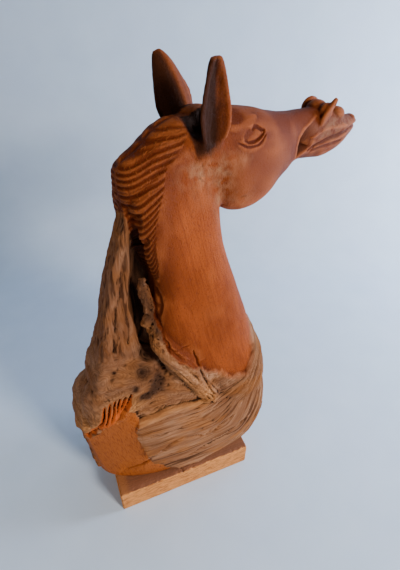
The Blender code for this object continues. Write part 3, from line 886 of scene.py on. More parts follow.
@dataclass(frozen=True)
class Root:
    """The natural root: overlapping layers, burl, knots, spur, hollow wall and the sawn corner."""

    # The flow runs between these two lines, seen from the side.
    flow_top: Rows = (
        (-90, 88), (-60, 96), (-37, 104), (-17, 108), (15, 107), (40, 110), (61, 118), (77, 136),
        (86, 165),
    )
    flow_foot: Rows = (
        (-100, -4), (-50, -8), (0, -10), (45, -8), (80, 0), (100, 18), (110, 48), (111, 90), (106, 130)
    )
    flow_height: float = 90.0
    # The grain's long curve is told by the angle about this place, as an arc of this radius.
    flow_centre: tuple[float, float] = (20.0, 175.0)
    flow_radius: float = 100.0
    layer_width: float = 10.0
    layer_depth: float = 1.8
    # Fine ridges in the layers: how high, and how far apart across the flow, along it and in y.
    ridge_height: float = 1.6
    ridge_size: Point = (3.6, 70.0, 45.0)
    # The carver's smooth wood: its edge runs down the neck's back, along the collar and up its front.
    smooth_wood: Rows = (
        (-33, 305), (-28, 284), (-25, 268), (-20, 255), (-16, 243), (-13, 230), (-13, 203), (-10, 183),
        (-5, 169), (5, 158), (14, 150), (24, 142), (38, 134), (52, 123), (68, 119), (76, 136),
        (80, 158),
        (84, 180), (100, 230), (260, 280), (260, 420), (-70, 420), (-70, 325), (-34, 318)
    )
    collar_swell: float = 2.0
    # Half the width of the smooth wood's edge behind, what it gains along the collar, and where.
    crisp_edge: float = 0.8
    soft_edge: float = 2.6
    soft_from: Span = (16.0, 34.0)
    # The ledge along the flow's top: its lip, the cut under it, and where it begins and ends.
    ledge_height: float = 2.6
    ledge_undercut: float = 2.4
    ledge_behind: Span = (-52.0, -40.0)
    ledge_front: Span = (40.0, 15.0)
    # The burl ends above here; its ripples stand this far apart.
    burl_top: Span = (178.0, 160.0)
    ripple_pitch: float = 3.6
    rotten: tuple[Spot, ...] = (Spot((-19, 138), (13, 15)), Spot((-32, 131), (13, 7)))
    wall_foot: Span = (158.0, 172.0)
    wall_front: Span = (-8.0, -16.0)
    spur: Rows = (
        (-22, -20, 192), (-12, -29, 172), (0, -36, 155), (10, -41, 138), (18, -45, 122), (25, -47, 110)
    )
    spur_height: float = 10.0
    # How far the spur reaches towards the burl and towards the neck.
    spur_steep: float = 8.5
    spur_gentle: float = 15.0
    # Splits beside the spur, a crescent and splits in the bark, and furrows that run up the wall:
    # each one's line, width and depth.
    splits: tuple[tuple[Rows, float, float], ...] = (
        (((15, 166), (18, 150), (21, 138), (25, 126), (29, 117)), 1.7, 2.8),
        (((-6, 180), (-2, 173.5), (4, 171.5), (13, 173.5)), 1.2, 1.0),
        (((-10, 232), (-8.5, 218), (-11, 203), (-8, 188), (-4, 172)), 1.8, 2.2),
        (((-27, 300), (-36, 240), (-50, 176)), 5.0, 2.4),
        (((-22, 282), (-28, 230), (-37, 180)), 5.0, 2.4),
    )
    # Long cracks along the flow, their ends drawn out thin: each one's line, width and depth.
    cracks: tuple[tuple[Rows, float, float], ...] = (
        (((-62, 14), (-39, 35), (-32, 48), (-13, 62), (-4, 64), (24, 54), (44, 63)), 1.7, 4.0),
        (((20, 57), (50, 66), (74, 82), (88, 102)), 1.3, 2.4),
        (((-30, 24), (10, 27), (46, 33), (78, 52), (94, 78)), 1.4, 2.6),
        (((-8, 90), (22, 90), (50, 97), (70, 113)), 1.1, 1.8),
        (((-28, 100), (-2, 101), (20, 100)), 1.0, 1.4),
        (((-34, 78), (-10, 80), (8, 82)), 1.1, 1.6),
    )
    hollow: Rows = ((-24, 290), (-22, 262), (-22, 236), (-22, 205), (-20, 184), (-24, 172))
    hollow_width: float = 9.0
    hollow_depth: float = 9.0
    hollow_side: Span = (-16.0, -10.0)
    poll_pit: Spot = Spot((27.0, -12.0, 346.0), (10, 10, 8), 6.5)
    # Painted shade in the pit between the ears, where the near ear casts its shadow.
    poll_shade: Spot = Spot((27.0, -12.0, 346.0), (17, 15, 14), 1.1)
    bark: Rows = ((-22, 243), (-20, 226), (-16, 212), (-15, 198), (-9, 182))
    bark_tear: float = 2.8
    knots: tuple[tuple[float, float, float, float], ...] = (
        (-22, -20, 163, 8.0), (-30, -31, 153, 7.5), (-40, -38, 142, 3.6), (-54, -26, 157, 2.2),
    )
    corner: Rows = ((-81, -21, 0), (-40, -43.5, 0), (-39, -46, 120))
    corner_top: Rows = ((-100, 72), (-85, 84), (-47, 118), (-36, 140))
    sawn_face: Rows = (
        (-110, 60), (-86, 71), (-77, 80), (-70, 95), (-64, 112), (-57, 118), (-50, 124), (-44, 113),
        (-41, 104), (-46, 90), (-45, 75), (-40, 55), (-38, 40), (-33, 28), (-20, 14), (-8, 0),
        (-8, -30), (-110, -30)
    )
    # The sawn corner lies on the near side of this y.
    sawn_side: float = -12.0
    # The swollen wood over the sawn corner, which the gouges cut from their tops to their feet.
    fringe: Rows = ((-92, 88), (-70, 108), (-45, 130))
    fringe_reach: float = 16.0
    fringe_height: float = 4.5
    gouge_tops: Rows = ((-68, 128), (-44, 138))
    gouge_feet: Rows = ((-88, 74), (-60, 108))
    gouges: int = 6
    gouge_depth: float = 5.0
    # A gouge's half width at its top, and what it gains down its run.
    gouge_width: float = 1.5
    gouge_widening: float = 1.5

    def into_weathered(self, place: Place) -> Array:
        """How far points lie in the natural wood; negative on the carved neck and head."""
        ragged = 1.6 * Noise(31).layered(place.stretched(7, 9, 7), 2)
        return ragged - depth_in(place.flank, self.smooth_wood)

    def edge_softness(self, place: Place) -> Array:
        """Half the width over which smooth wood turns natural: crisp behind, soft along the collar."""
        return self.crisp_edge + self.soft_edge * smooth_step(place.x, *self.soft_from)

    def weathered(self, place: Place) -> Array:
        """1 on the natural wood and 0 on the carved neck and head."""
        return smooth_step(self.into_weathered(place) / self.edge_softness(place), -1.0, 1.0)

    def into_sawn(self, place: Place) -> Array:
        """How far points lie in the sawn corner; negative outside it."""
        depth = depth_in(place.flank, self.sawn_face) + 0.8 * Noise(32).at(place.stretched(3, 9, 3))
        return np.minimum(depth, self.sawn_side - place.y)

    def sawn(self, place: Place) -> Array:
        """1 on the sawn corner."""
        return smooth_step(self.into_sawn(place), -0.8, 0.8)

    def flow(self, place: Place) -> tuple[Array, Array, Array]:
        """Where points lie in the root's flowing grain.

        Args:
            place: The points.

        Returns:
            The distance across the flow, the distance along it, and how far below its top line.
        """
        to_top, _ = near_line(place.flank, self.flow_top)
        to_foot, _ = near_line(place.flank, self.flow_foot)
        block = (*self.flow_top, *self.flow_foot[::-1])
        below = depth_in(place.flank, block) + 1.2 * Noise(33).at(place.stretched(12, 12, 12))
        share = np.abs(to_top) / (np.abs(to_top) + np.abs(to_foot) + TINY)
        centre_x, centre_z = self.flow_centre
        angle = np.arctan2(place.x - centre_x, centre_z - place.z)
        return self.flow_height * share * np.sign(below), self.flow_radius * angle, below

    def relief(self, place: Place) -> Array:
        """The sum of every part of the root's surface, on the natural wood only."""
        weathered = self.weathered(place)
        sawn = self.sawn(place)
        wild = weathered * (1.0 - sawn)
        relief = wild * (self.layers(place) + self.burl(place) + self.wall(place))
        relief += weathered * self.collar(place) + self.spur_ridge(place)
        relief -= self.poll_pit.at(place.points)
        return relief - place.near() * self.cuts(place, sawn) - self.knot_pits(place)

    def layers(self, place: Place) -> Array:
        """Stepped layers with fine ridges along the flow."""
        across, along, below = self.flow(place)
        x, y, _ = place.points.T
        in_block = smooth_step(below, -0.8, 1.0)
        wander = 3.0 * Noise(34).at(place.stretched(45, 30, 30))
        step = (across + 1.6 * wander) / self.layer_width
        layer = (step - np.floor(step)) ** 1.6 * smooth_step(below, 4.0, 14.0)
        grain = np.stack([across + wander, along, y], axis=1) / self.ridge_size
        ridges = self.ridge_height * Noise(35).ridged(grain, 2)
        ridges += self.ridge_height * Noise(34).ridged(grain / (2.6, 1.2, 1.5), 1)
        ledge = self.ledge_height * smooth_step(below, -0.4, 0.8) * smooth_step(below, 18.0, 3.0)
        ledge -= self.ledge_undercut * smooth_step(below, 0.0, -1.2) * smooth_step(below, -16.0, -3.0)
        ledge = ledge * smooth_step(x, *self.ledge_behind) * smooth_step(x, *self.ledge_front)
        return self.layer_depth * (layer - 0.4) * in_block + in_block * (ridges - 0.2) + ledge

    def burl(self, place: Place) -> Array:
        """Lumpy swirling wood beside the knots, above the flow: ripples of the distance to a knot."""
        _, _, below = self.flow(place)
        z = place.z
        region = smooth_step(below, 0.5, -1.5) * smooth_step(z, *self.burl_top)
        swirl = np.full(len(z), np.inf)
        for *centre, radius in self.knots:
            swirl = np.minimum(swirl, np.linalg.norm(place.points - centre, axis=1) + 0.4 * radius)
        swirl += 7.0 * Noise(36).layered(place.stretched(17, 17, 14), 2)
        ripple = np.abs(np.sin(math.pi * swirl / self.ripple_pitch)) - 0.5
        lumps = Noise(37).layered(place.stretched(9, 9, 7), 2)
        pitted = self.pitted(place)
        rough = Noise(45).ridged(place.stretched(5.0, 5.0, 4.0), 2)
        return region * (0.5 * ripple * (1.0 - pitted) + lumps + pitted * (1.5 * rough - 1.6))

    def pitted(self, place: Place) -> Array:
        """1 on the dark rotten wood between the knots and the spur."""
        spots = sum(spot.at(place.flank) for spot in self.rotten)
        return np.clip(1.3 * spots, 0.0, 1.0) * place.near(-8.0, -16.0)

    def shaded(self, place: Place) -> Array:
        """1 deep in the hollow behind the neck and in the pit between the ears: painted shade there,
        with some dirt.
        """
        z = place.z
        # Painted shade, with some dirt, down the hollow behind the neck.
        hollow = groove(place.flank, self.hollow, 14.0) ** 0.6 * smooth_step(z, 300.0, 270.0)
        hollow = hollow * smooth_step(place.y, -14.0, -6.0) * smooth_step(z, 170.0, 195.0)
        return np.clip(hollow + self.poll_shade.at(place.points), 0.0, 1.0)

    def wall(self, place: Place) -> Array:
        """The upright wall behind the neck: furrows that run up it."""
        z = place.z
        region = smooth_step(z, *self.wall_foot) * smooth_step(place.x, *self.wall_front)
        upward = Noise(38).ridged(place.stretched(5.5, 5.5, 70), 3)
        return region * (0.9 * upward - 0.2)

    def collar(self, place: Place) -> Array:
        """The swollen edge of natural wood below the smooth neck, rippled along the edge."""
        into = self.into_weathered(place)
        front = smooth_step(place.x, -5.0, 20.0)
        swell = self.collar_swell * smooth_step(into, 45.0, 8.0)
        _, _, below = self.flow(place)
        ripple = Noise(39).ridged(place.stretched(4.2, 9, 26), 2)
        return front * (swell + smooth_step(below, 3.0, -3.0) * 0.5 * ripple)

    def spur_ridge(self, place: Place) -> Array:
        """The torn spur: steep towards the burl, gentle towards the neck, with fibres along it."""
        gap, along = near_line(place.points, self.spur)
        side, _ = near_line(place.flank, tuple((x, z) for x, _, z in self.spur))
        reach = np.where(side < 0.0, self.spur_steep, self.spur_gentle)
        crest = np.clip(1.0 - gap / reach, 0.0, 1.0)
        fibre = Noise(40).ridged(np.stack([side / 2.6, along / 30.0, gap / 9.0], axis=1), 2)
        return self.spur_height * crest**1.2 + 1.5 * fibre * smooth_step(crest, 0.05, 0.4)

    def cuts(self, place: Place, sawn: Array) -> Array:
        """Cracks, the hollow beside the neck, torn bark and the gouges over the sawn corner."""
        flank = place.flank
        z = place.z
        ragged = flank + np.stack([Noise(s).at(place.points / 6.0) for s in (41, 42)], axis=1) * 0.9
        total = self.gouge_cuts(ragged)
        for line, width, depth in self.splits:
            total += depth * groove(ragged, line, width)
        for line, width, depth in self.cracks:
            total += depth * groove(ragged, line, width, 0.9) ** 0.8
        hollow = groove(flank, self.hollow, self.hollow_width)
        total += self.hollow_depth * hollow * smooth_step(place.y, *self.hollow_side)
        bark = groove(ragged, self.bark, 6.0)
        total -= self.bark_tear * bark * Noise(43).ridged(place.stretched(3, 5, 5), 2)
        fringe = groove(flank, self.fringe, self.fringe_reach)
        total -= self.fringe_height * fringe * (1.0 - 0.6 * sawn)
        torn = Noise(44).ridged(place.stretched(3.0, 12, 14), 2)
        return total - 0.8 * fringe * smooth_step(z, 78.0, 92.0) * torn

    def gouge_cuts(self, flank: Array) -> Array:
        """V cuts from a line of tops to a line of feet, widest at two thirds of their run."""
        total = np.zeros(len(flank))
        for i in range(self.gouges):
            share = i / (self.gouges - 1)
            top, foot = (
                np.asarray(line[0]) + share * (np.asarray(line[1]) - np.asarray(line[0]))
                for line in (self.gouge_tops, self.gouge_feet)
            )
            cut = ((top[0], top[1]), (foot[0], foot[1]))
            gap, along = near_line(flank, cut)
            run = along / line_length(cut)
            width = self.gouge_width + self.gouge_widening * smooth_step(run, 0.0, 0.6)
            section = np.clip(1.0 - np.abs(gap) / width, 0.0, 1.0)
            total += self.gouge_depth * section * smooth_step(run, -0.1, 0.1)
        return total

    def tan(self, place: Place) -> Array:
        """1 where the natural wood is bright: the spur and the wood over the gouges, and a painted
        highlight along the ledge's lip.
        """
        gap, _ = near_line(place.points, self.spur)
        _, _, below = self.flow(place)
        # Painted highlight along the ledge's lit lip.
        lit_lip = bell(below, 1.0, 2.4) * smooth_step(place.x, -46.0, -38.0)
        lit_lip = lit_lip * smooth_step(place.x, 30.0, 10.0) * place.near(-20.0, -30.0)
        fan = groove(place.flank, self.fringe, 19.0, 0.2)
        return np.clip(smooth_step(gap, 11.0, 5.0) + lit_lip + 1.3 * fan * place.near(), 0.0, 1.0)

    def knot_pits(self, place: Place) -> Array:
        """Sunken knots with a raised ring."""
        total = np.zeros(len(place.points))
        for *centre, radius in self.knots:
            away = np.linalg.norm(place.points - centre, axis=1) / radius
            total += 0.42 * radius * np.exp(-2.2 * away**2) - 0.16 * radius * bell(away, 1.15, 0.28)
        return total

    def knotty(self, place: Place) -> Array:
        """How dark the wood is with knots, rot and torn bark."""
        share = 0.95 * self.pitted(place)
        for *centre, radius in self.knots:
            share = np.maximum(share, Spot(centre, (1.8 * radius,) * 3).at(place.points))
        return np.maximum(share, 0.75 * groove(place.flank, self.bark, 8.0) * place.near())

    def saw_corner(self, points: Array) -> Array:
        """Moves what stands proud of the sawn corner back onto its flat."""
        first, second, third = (np.asarray(p, float) for p in self.corner)
        normal = np.cross(second - first, third - first)
        normal /= np.linalg.norm(normal)
        proud = np.maximum((points - first) @ normal, 0.0)
        under, _ = near_line(points[:, [0, 2]], self.corner_top)
        proud *= smooth_step(-under, -2.0, 3.0) * smooth_step(points[:, 0], -28.0, -36.0)
        return points - proud[:, None] * normal


EAR_OUTLINE: Rows = (
    (0.0, 0.2), (0.06, 0.38), (0.12, 0.5), (0.2, 0.68), (0.3, 0.87), (0.43, 0.97), (0.56, 0.95),
    (0.8, 0.66), (0.94, 0.44), (1.0, 0.28)
)
FAR_EAR_OUTLINE: Rows = (*EAR_OUTLINE[:-3], (0.8, 0.6), (0.94, 0.34), (1.0, 0.17))
FLAP_OUTLINE: Rows = ((0.0, 0.8), (0.25, 1.0), (0.5, 0.92), (0.75, 0.62), (0.9, 0.4), (1.0, 0.2))


def ear(flank: Flank) -> Leaf:
    """The ear on this side; the far one is broader and leans back more."""
    near = flank is Flank.NEAR
    return Leaf(
        root=(36.0, -21.0, 322.0) if near else (41.0, -18.0, 325.0),
        tip=(26.5, -28.5, 387.5) if near else (23.8, -28.5, 385.5),
        opening=(-0.05, -1.0, 0.0),
        half_width=12.6 if near else 15.8,
        half_thickness=3.4,
        cup=4.4,
        bow=2.5,
        outline=EAR_OUTLINE if near else FAR_EAR_OUTLINE,
        flank=flank,
        sway=13.0,
    )


@dataclass(frozen=True)
class CarvedHorse:
    """The horse's head, its neck and the root below them, all one block."""

    seat: float
    crest: Form = Form(
        (
            (18, 222, -8, 231, 18), (24, 254, -15, 247, 20), (30, 270, -23, 276, 21),
            (34, 282, -29, 300, 21), (40, 290, -31, 321, 20), (44, 296, -27, 330, 19),
            (46, 300, -14, 337, 18.5), (48, 302, -3, 345, 18), (50, 304, 8, 350, 17),
            (50, 308, 24, 352, 16),
        ),
        2.6,
    )
    head: Form = Form(
        (
            (20, 282, 0, 336, 11), (31, 287, 11, 345, 17), (42, 292, 24, 351, 21),
            (51, 280, 40, 352, 24.5), (64, 273, 56, 351.5, 26.5), (79, 272.5, 72, 350, 26.5),
            (95, 277.5, 88, 346.5, 25.5), (108, 286, 103, 342, 22.5),
            (120, 291, 117, 339, 19), (131, 295, 131, 337, 15.5), (143, 296, 146, 336.5, 13.5),
            (157, 294, 161, 336, 12.5), (171, 292, 175, 334, 12.5), (186, 293.5, 189, 330, 12.5),
            (200, 297, 201, 325, 11.5), (213, 301, 212, 322, 9.5), (222, 306, 221, 318.5, 6.5),
            (227, 311, 227, 315.5, 3),
        ),
        2.3,
    )
    trunk: Form = upright(
        (
            (-18, -84, 97, 34), (0, -87, 106, 42), (20, -89, 109, 47), (45, -91, 109, 49),
            (70, -93, 106, 49), (95, -91, 99, 47), (115, -81, 93, 43), (130, -68, 87, 38),
            (142, -50, 80, 31), (149, -30, 64, 18),
        ),
        2.3,
    )
    neck: Form = upright(
        (
            (60, 18, 90, 36), (90, 4, 97, 43), (120, -6, 94, 42), (150, -12, 84, 38),
            (180, -13, 76, 34), (210, -12, 66, 31), (232, -11, 58.5, 29), (244, -14, 55, 28),
            (256, -18, 52, 27),
            (270, -23, 50, 26), (284, -26, 49, 25), (297, -28, 48.5, 24), (310, -27, 43, 22.5),
            (322, -16, 39, 20), (334, 4, 35, 17.5), (346, 16, 32, 12),
        ),
        2.6,
        back_power=5.0,
    )
    root_wall: Form = upright(
        (
            (95, -80, -20, 36), (140, -74, -22, 29), (165, -64, -25, 22), (190, -56.5, -27, 17),
            (220, -49.5, -27, 13), (255, -42.5, -23, 10), (285, -35, -18, 8), (305, -29, -14, 5),
        ),
        2.6,
        -2.0,
        back_power=5.0,
    )
    root_web: Form = upright(
        (
            (95, -50, 20, 26), (140, -50, 10, 18), (180, -42, 6, 13), (220, -34, 2, 10),
            (260, -26, 2, 8), (285, -20, 0, 7),
        ),
        2.2,
        9.0,
    )
    bark: Form = upright(
        (
            (244, -24.5, -22.5, 1.2), (234, -25, -17, 2.6), (220, -22.5, -13, 3.6), (205, -19, -9, 4.5),
            (188, -15, -5, 5),
        ),
        2.4,
        -14.0,
    )
    ears: tuple[Leaf, ...] = (ear(Flank.NEAR), ear(Flank.FAR))
    near_flap: Leaf = Leaf(
        root=(163.5, -8.0, 321.0),
        tip=(175.0, -12.0, 342.5),
        opening=(0.55, -1.0, 0.0),
        half_width=10.5,
        half_thickness=3.2,
        cup=0.0,
        bow=0.0,
        outline=FLAP_OUTLINE,
        flank=Flank.NEAR,
    )
    swellings: tuple[Swelling, ...] = (
        Swelling((-69, 4, 91), (26, 36, 35)),
        Swelling((-62, -16, 114), (24, 27, 24)),
        Swelling((-38, -12, 124), (38, 29, 42)),
        Swelling((30, -6, 96), (56, 39, 40)),
        Swelling((167, -9, 333), (8, 5, 7)),
        Swelling((172, 12, 332), (11, 4.5, 9)),
        Swelling((189, -4, 326.5), (9, 7, 6.5)),
        Swelling((167, 1, 333), (10, 9, 8)),
        Swelling((35, 2, 346), (15, 13, 10)),
        Swelling((215.5, -1, 317.5), (6.5, 6, 4.5)),
        Swelling((213.5, -1, 307.5), (6.5, 6, 4.5)),
    )
    mane: Mane = Mane()
    face: Face = Face()
    ear_cuts: EarCuts = EarCuts((ear(Flank.NEAR), ear(Flank.FAR)))
    root: Root = Root()
    # Where the neck's smooth wood ends behind, as height and x.
    neck_back: Rows = ((158, 5), (183, -10), (203, -13), (243, -12), (282, -16), (314, -9), (330, 2))
    turn: float = math.radians(16.0)
    turn_x: float = 25.0
    turn_from: float = 200.0
    turn_to: float = 310.0
    voxel: float = 0.8
    # Each round of smoothing draws the points in and then lets them out again, to keep the size.
    smooth_pulls: Span = (0.5, -0.52)
    smooth_rounds: int = 26
    # Where two forms meet on the near side and are rubbed together, as x, y and z.
    melts: tuple[Rows, ...] = (
        ((-2, -23, 232), (2, -23, 252), (4, -22, 275), (4, -21, 300), (8, -19, 316)),
        ((28, -21, 331), (34, -22, 318), (40, -22, 306), (47, -18, 293)),
    )
    melt_reach: float = 15.0
    melt_rounds: int = 220
    triangles: int = 186000
    dust_and_sheen_spots: tuple[Spot, ...] = (
        Spot((24, 318), (26, 17)),
        Spot((42, 300), (13, 26)),
        Spot((52, 322), (16, 8), 0.8),
        Spot((60, 288), (20, 12), 0.5),
        # A painted sheen on the muzzle, in the dust's pale colour.
        Spot((185, 316), (50, 22), 0.7),
    )
    # The ground that a spot stands proud of is the surface after these rounds of smoothing.
    ground_pulls: tuple[float, ...] = (0.6,) * 10
    # Where the head's darker tone begins, its height and its x, and where the painted shade down the
    # neck's back edge begins, the way from that edge.
    tone_height: Span = (272.0, 300.0)
    tone_front: Span = (22.0, 58.0)
    edge_shade_reach: Span = (26.0, 2.0)
    edge_shade: float = 0.95
    flat_depth: float = 0.3
    pit_depth: float = 0.8

    def fused(self) -> Mesh:
        """One even mesh round all the forms, its creases rounded as a rasp leaves them."""
        forms = (self.trunk, self.neck, self.root_wall, self.root_web, self.bark, self.crest, self.head)
        bodies = (*forms, *self.ears, self.near_flap, *self.swellings)
        raw = tube_mesh("forms", [body.rings() for body in bodies])
        mesh = after_modifier(raw, "REMESH", {"mode": "VOXEL", "voxel_size": self.voxel})
        move_points(mesh, smoothed(mesh, points_of(mesh), self.smooth_pulls * self.smooth_rounds))
        return mesh

    def rubbed(self, mesh: Mesh) -> Array:
        """The mesh's points with the forms rubbed together where the carver left no joint."""
        points = points_of(mesh)
        x, y, z = points.T
        sided = np.stack([x, -np.abs(y), z], axis=1)
        share = np.zeros(len(points))
        for line in self.melts:
            gap, _ = near_line(sided, line)
            share = np.maximum(share, smooth_step(gap, self.melt_reach, self.melt_reach / 3))
        return melted(mesh, points, share, self.melt_rounds)

    def carved(self, place: Place) -> Array:
        """The points after every cut and swelling, each a move along the normal."""
        move = self.mane.relief(place) + self.face.relief(place) + self.ear_cuts.relief(place)
        move += self.root.relief(place) + self.hand_marks(place)
        return place.points + move[:, None] * place.normals

    def hand_marks(self, place: Place) -> Array:
        """What the rasp leaves on the smooth wood: shallow flats, and pits where the dust lies."""
        smooth = (1.0 - self.root.weathered(place)) * (1.0 - self.mane.comb(place)[2])
        flats = self.flat_depth * Noise(51).layered(place.stretched(15, 15, 24), 2)
        pits = smooth_step(Noise(52).at(place.points / 2.6), 0.62, 0.9) * self.dust_and_sheen(place)
        return smooth * (flats - self.pit_depth * pits)

    def head_tone_and_edge_shade(self, place: Place) -> Array:
        """How dark the wood is: most on the head, as its darker tone, and some down the neck's back
        edge, as painted shade where the round neck turns from the light.
        """
        x, _, z = place.points.T
        head = smooth_step(z, *self.tone_height) * smooth_step(x, *self.tone_front)
        heights, backs = np.asarray(self.neck_back, float).T
        # Painted shade down the neck's back edge.
        edge = smooth_step(x - np.interp(z, heights, backs), *self.edge_shade_reach)
        return np.maximum(head, self.edge_shade * edge)

    def dust_and_sheen(self, place: Place) -> Array:
        """Where pale filler and dust have stayed: below the ears, on the cheek, along the throat; the
        pale spot on the muzzle is a painted sheen.
        """
        return np.clip(sum(spot.at(place.flank) for spot in self.dust_and_sheen_spots), 0.0, 1.0)

    def angle_at(self, height: Array) -> Array:
        """How far the neck has turned at a height."""
        return self.turn * smooth_step(height, self.turn_from, self.turn_to)

    def turned(self, points: Array, way: float = 1.0) -> Array:
        """Points after the neck's turn about its upright line, or before it where way is -1."""
        angle = way * self.angle_at(points[:, 2])
        x, y = points[:, 0] - self.turn_x, points[:, 1]
        cos, sin = np.cos(angle), np.sin(angle)
        return np.stack([self.turn_x + x * cos - y * sin, x * sin + y * cos, points[:, 2]], axis=1)

    def sawn_foot(self, mesh: Mesh) -> None:
        """Cuts the mesh off flat at the seat and closes the cut."""
        bm = bmesh.new()
        bm.from_mesh(mesh)
        everything = bm.verts[:] + bm.edges[:] + bm.faces[:]
        plane = Vector((0.0, 0.0, self.seat))
        cut = bmesh.ops.bisect_plane(
            bm, geom=everything, dist=1e-7, plane_co=plane, plane_no=(0, 0, 1), clear_inner=True
        )
        rim = [e for e in cut["geom_cut"] if isinstance(e, bmesh.types.BMEdge) and e.is_boundary]
        bmesh.ops.triangle_fill(bm, edges=rim, use_beauty=True, use_dissolve=False, normal=(0, 0, -1))
        bmesh.ops.triangulate(bm, faces=bm.faces[:])
        bmesh.ops.recalc_face_normals(bm, faces=bm.faces[:])
        bm.to_mesh(mesh)
        bm.free()

    def build(self) -> Object:
        """The carving as one object, in the frame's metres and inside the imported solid's box."""
        mesh = self.fused()
        move_points(mesh, self.root.saw_corner(self.rubbed(mesh)))
        place = Place(points_of(mesh), normals_of(mesh))
        points = self.turned(self.carved(place))
        move_points(mesh, points * MM + np.array([0.0, 0.0, self.seat]))
        triangles = sum(len(p.vertices) - 2 for p in mesh.polygons)
        mesh = after_modifier(mesh, "DECIMATE", {"ratio": self.triangles / triangles})
        low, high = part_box("carved_horse_head")
        move_points(mesh, np.clip(points_of(mesh), np.array(low) - [0, 0, 1], np.array(high)))
        self.sawn_foot(mesh)
        self.mark_zones(mesh)
        mesh.shade_smooth()
        return placed("carved_horse", mesh)

    def mark_zones(self, mesh: Mesh) -> None:
        """Writes what the finishes read: which wood is where, its marks and its grain's run."""
        points = points_of(mesh)
        design = (points - np.array([0.0, 0.0, self.seat])) / MM
        place = Place(self.turned(design, -1.0), normals_of(mesh))
        root, face = self.root, self.face
        proud = points - smoothed(mesh, points, self.ground_pulls)
        proud = np.einsum("ij,ij->i", proud, place.normals) / MM
        row, from_root, in_mane = self.mane.comb(place)
        gouged = root.gouge_cuts(place.flank) * place.near()
        # Painted shade in the knife's thin cuts, and more faintly in the mane's furrows.
        knife_shade = face.knife_lines(place) / face.lid_depth
        knife_shade = np.maximum(knife_shade, 0.55 * self.mane.furrows(place)[0] * in_mane)
        # Painted shade in the nose's scoop, where the muzzle keeps the light out.
        hollow_shade = 0.9 * np.clip(face.nose_hollow(place), 0.0, 1.0)
        stain_and_shade = np.maximum(self.ear_cuts.stain_and_shade(place), hollow_shade)
        tables = {
            "zones": (root.into_weathered(place), root.into_sawn(place), root.edge_softness(place)),
            # The third of the marks is dust, with a painted sheen on the muzzle.
            "marks": (proud, root.knotty(place), self.dust_and_sheen(place)),
            "flow": root.flow(place),
            "comb": (row * self.mane.pitch, from_root, in_mane),
            # Painted shade with dirt, bright wood with a painted highlight, and the gouges' depth.
            "dirt_and_shade": (root.shaded(place), root.tan(place), gouged),
            # Painted shade in the knife's cuts, the ears' stain with painted shade, and the head's tone
            # with painted shade down the neck's back edge.
            "shade_and_stains": (knife_shade, stain_and_shade, self.head_tone_and_edge_shade(place)),
        }
        for name, columns in tables.items():
            attribute = mesh.attributes.new(name, "FLOAT_VECTOR", "POINT")
            rows = np.stack(columns, axis=1).astype(np.float32)
            attribute.data.foreach_set("vector", rows.ravel())

    def dress(self, piece: Object, material: Material) -> None:
        """Gives the carving its wood, hangs it under the root's body and hides the imported solid."""
        piece.data.materials.append(material)
        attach(piece, "root")
        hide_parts("carved_horse_head")


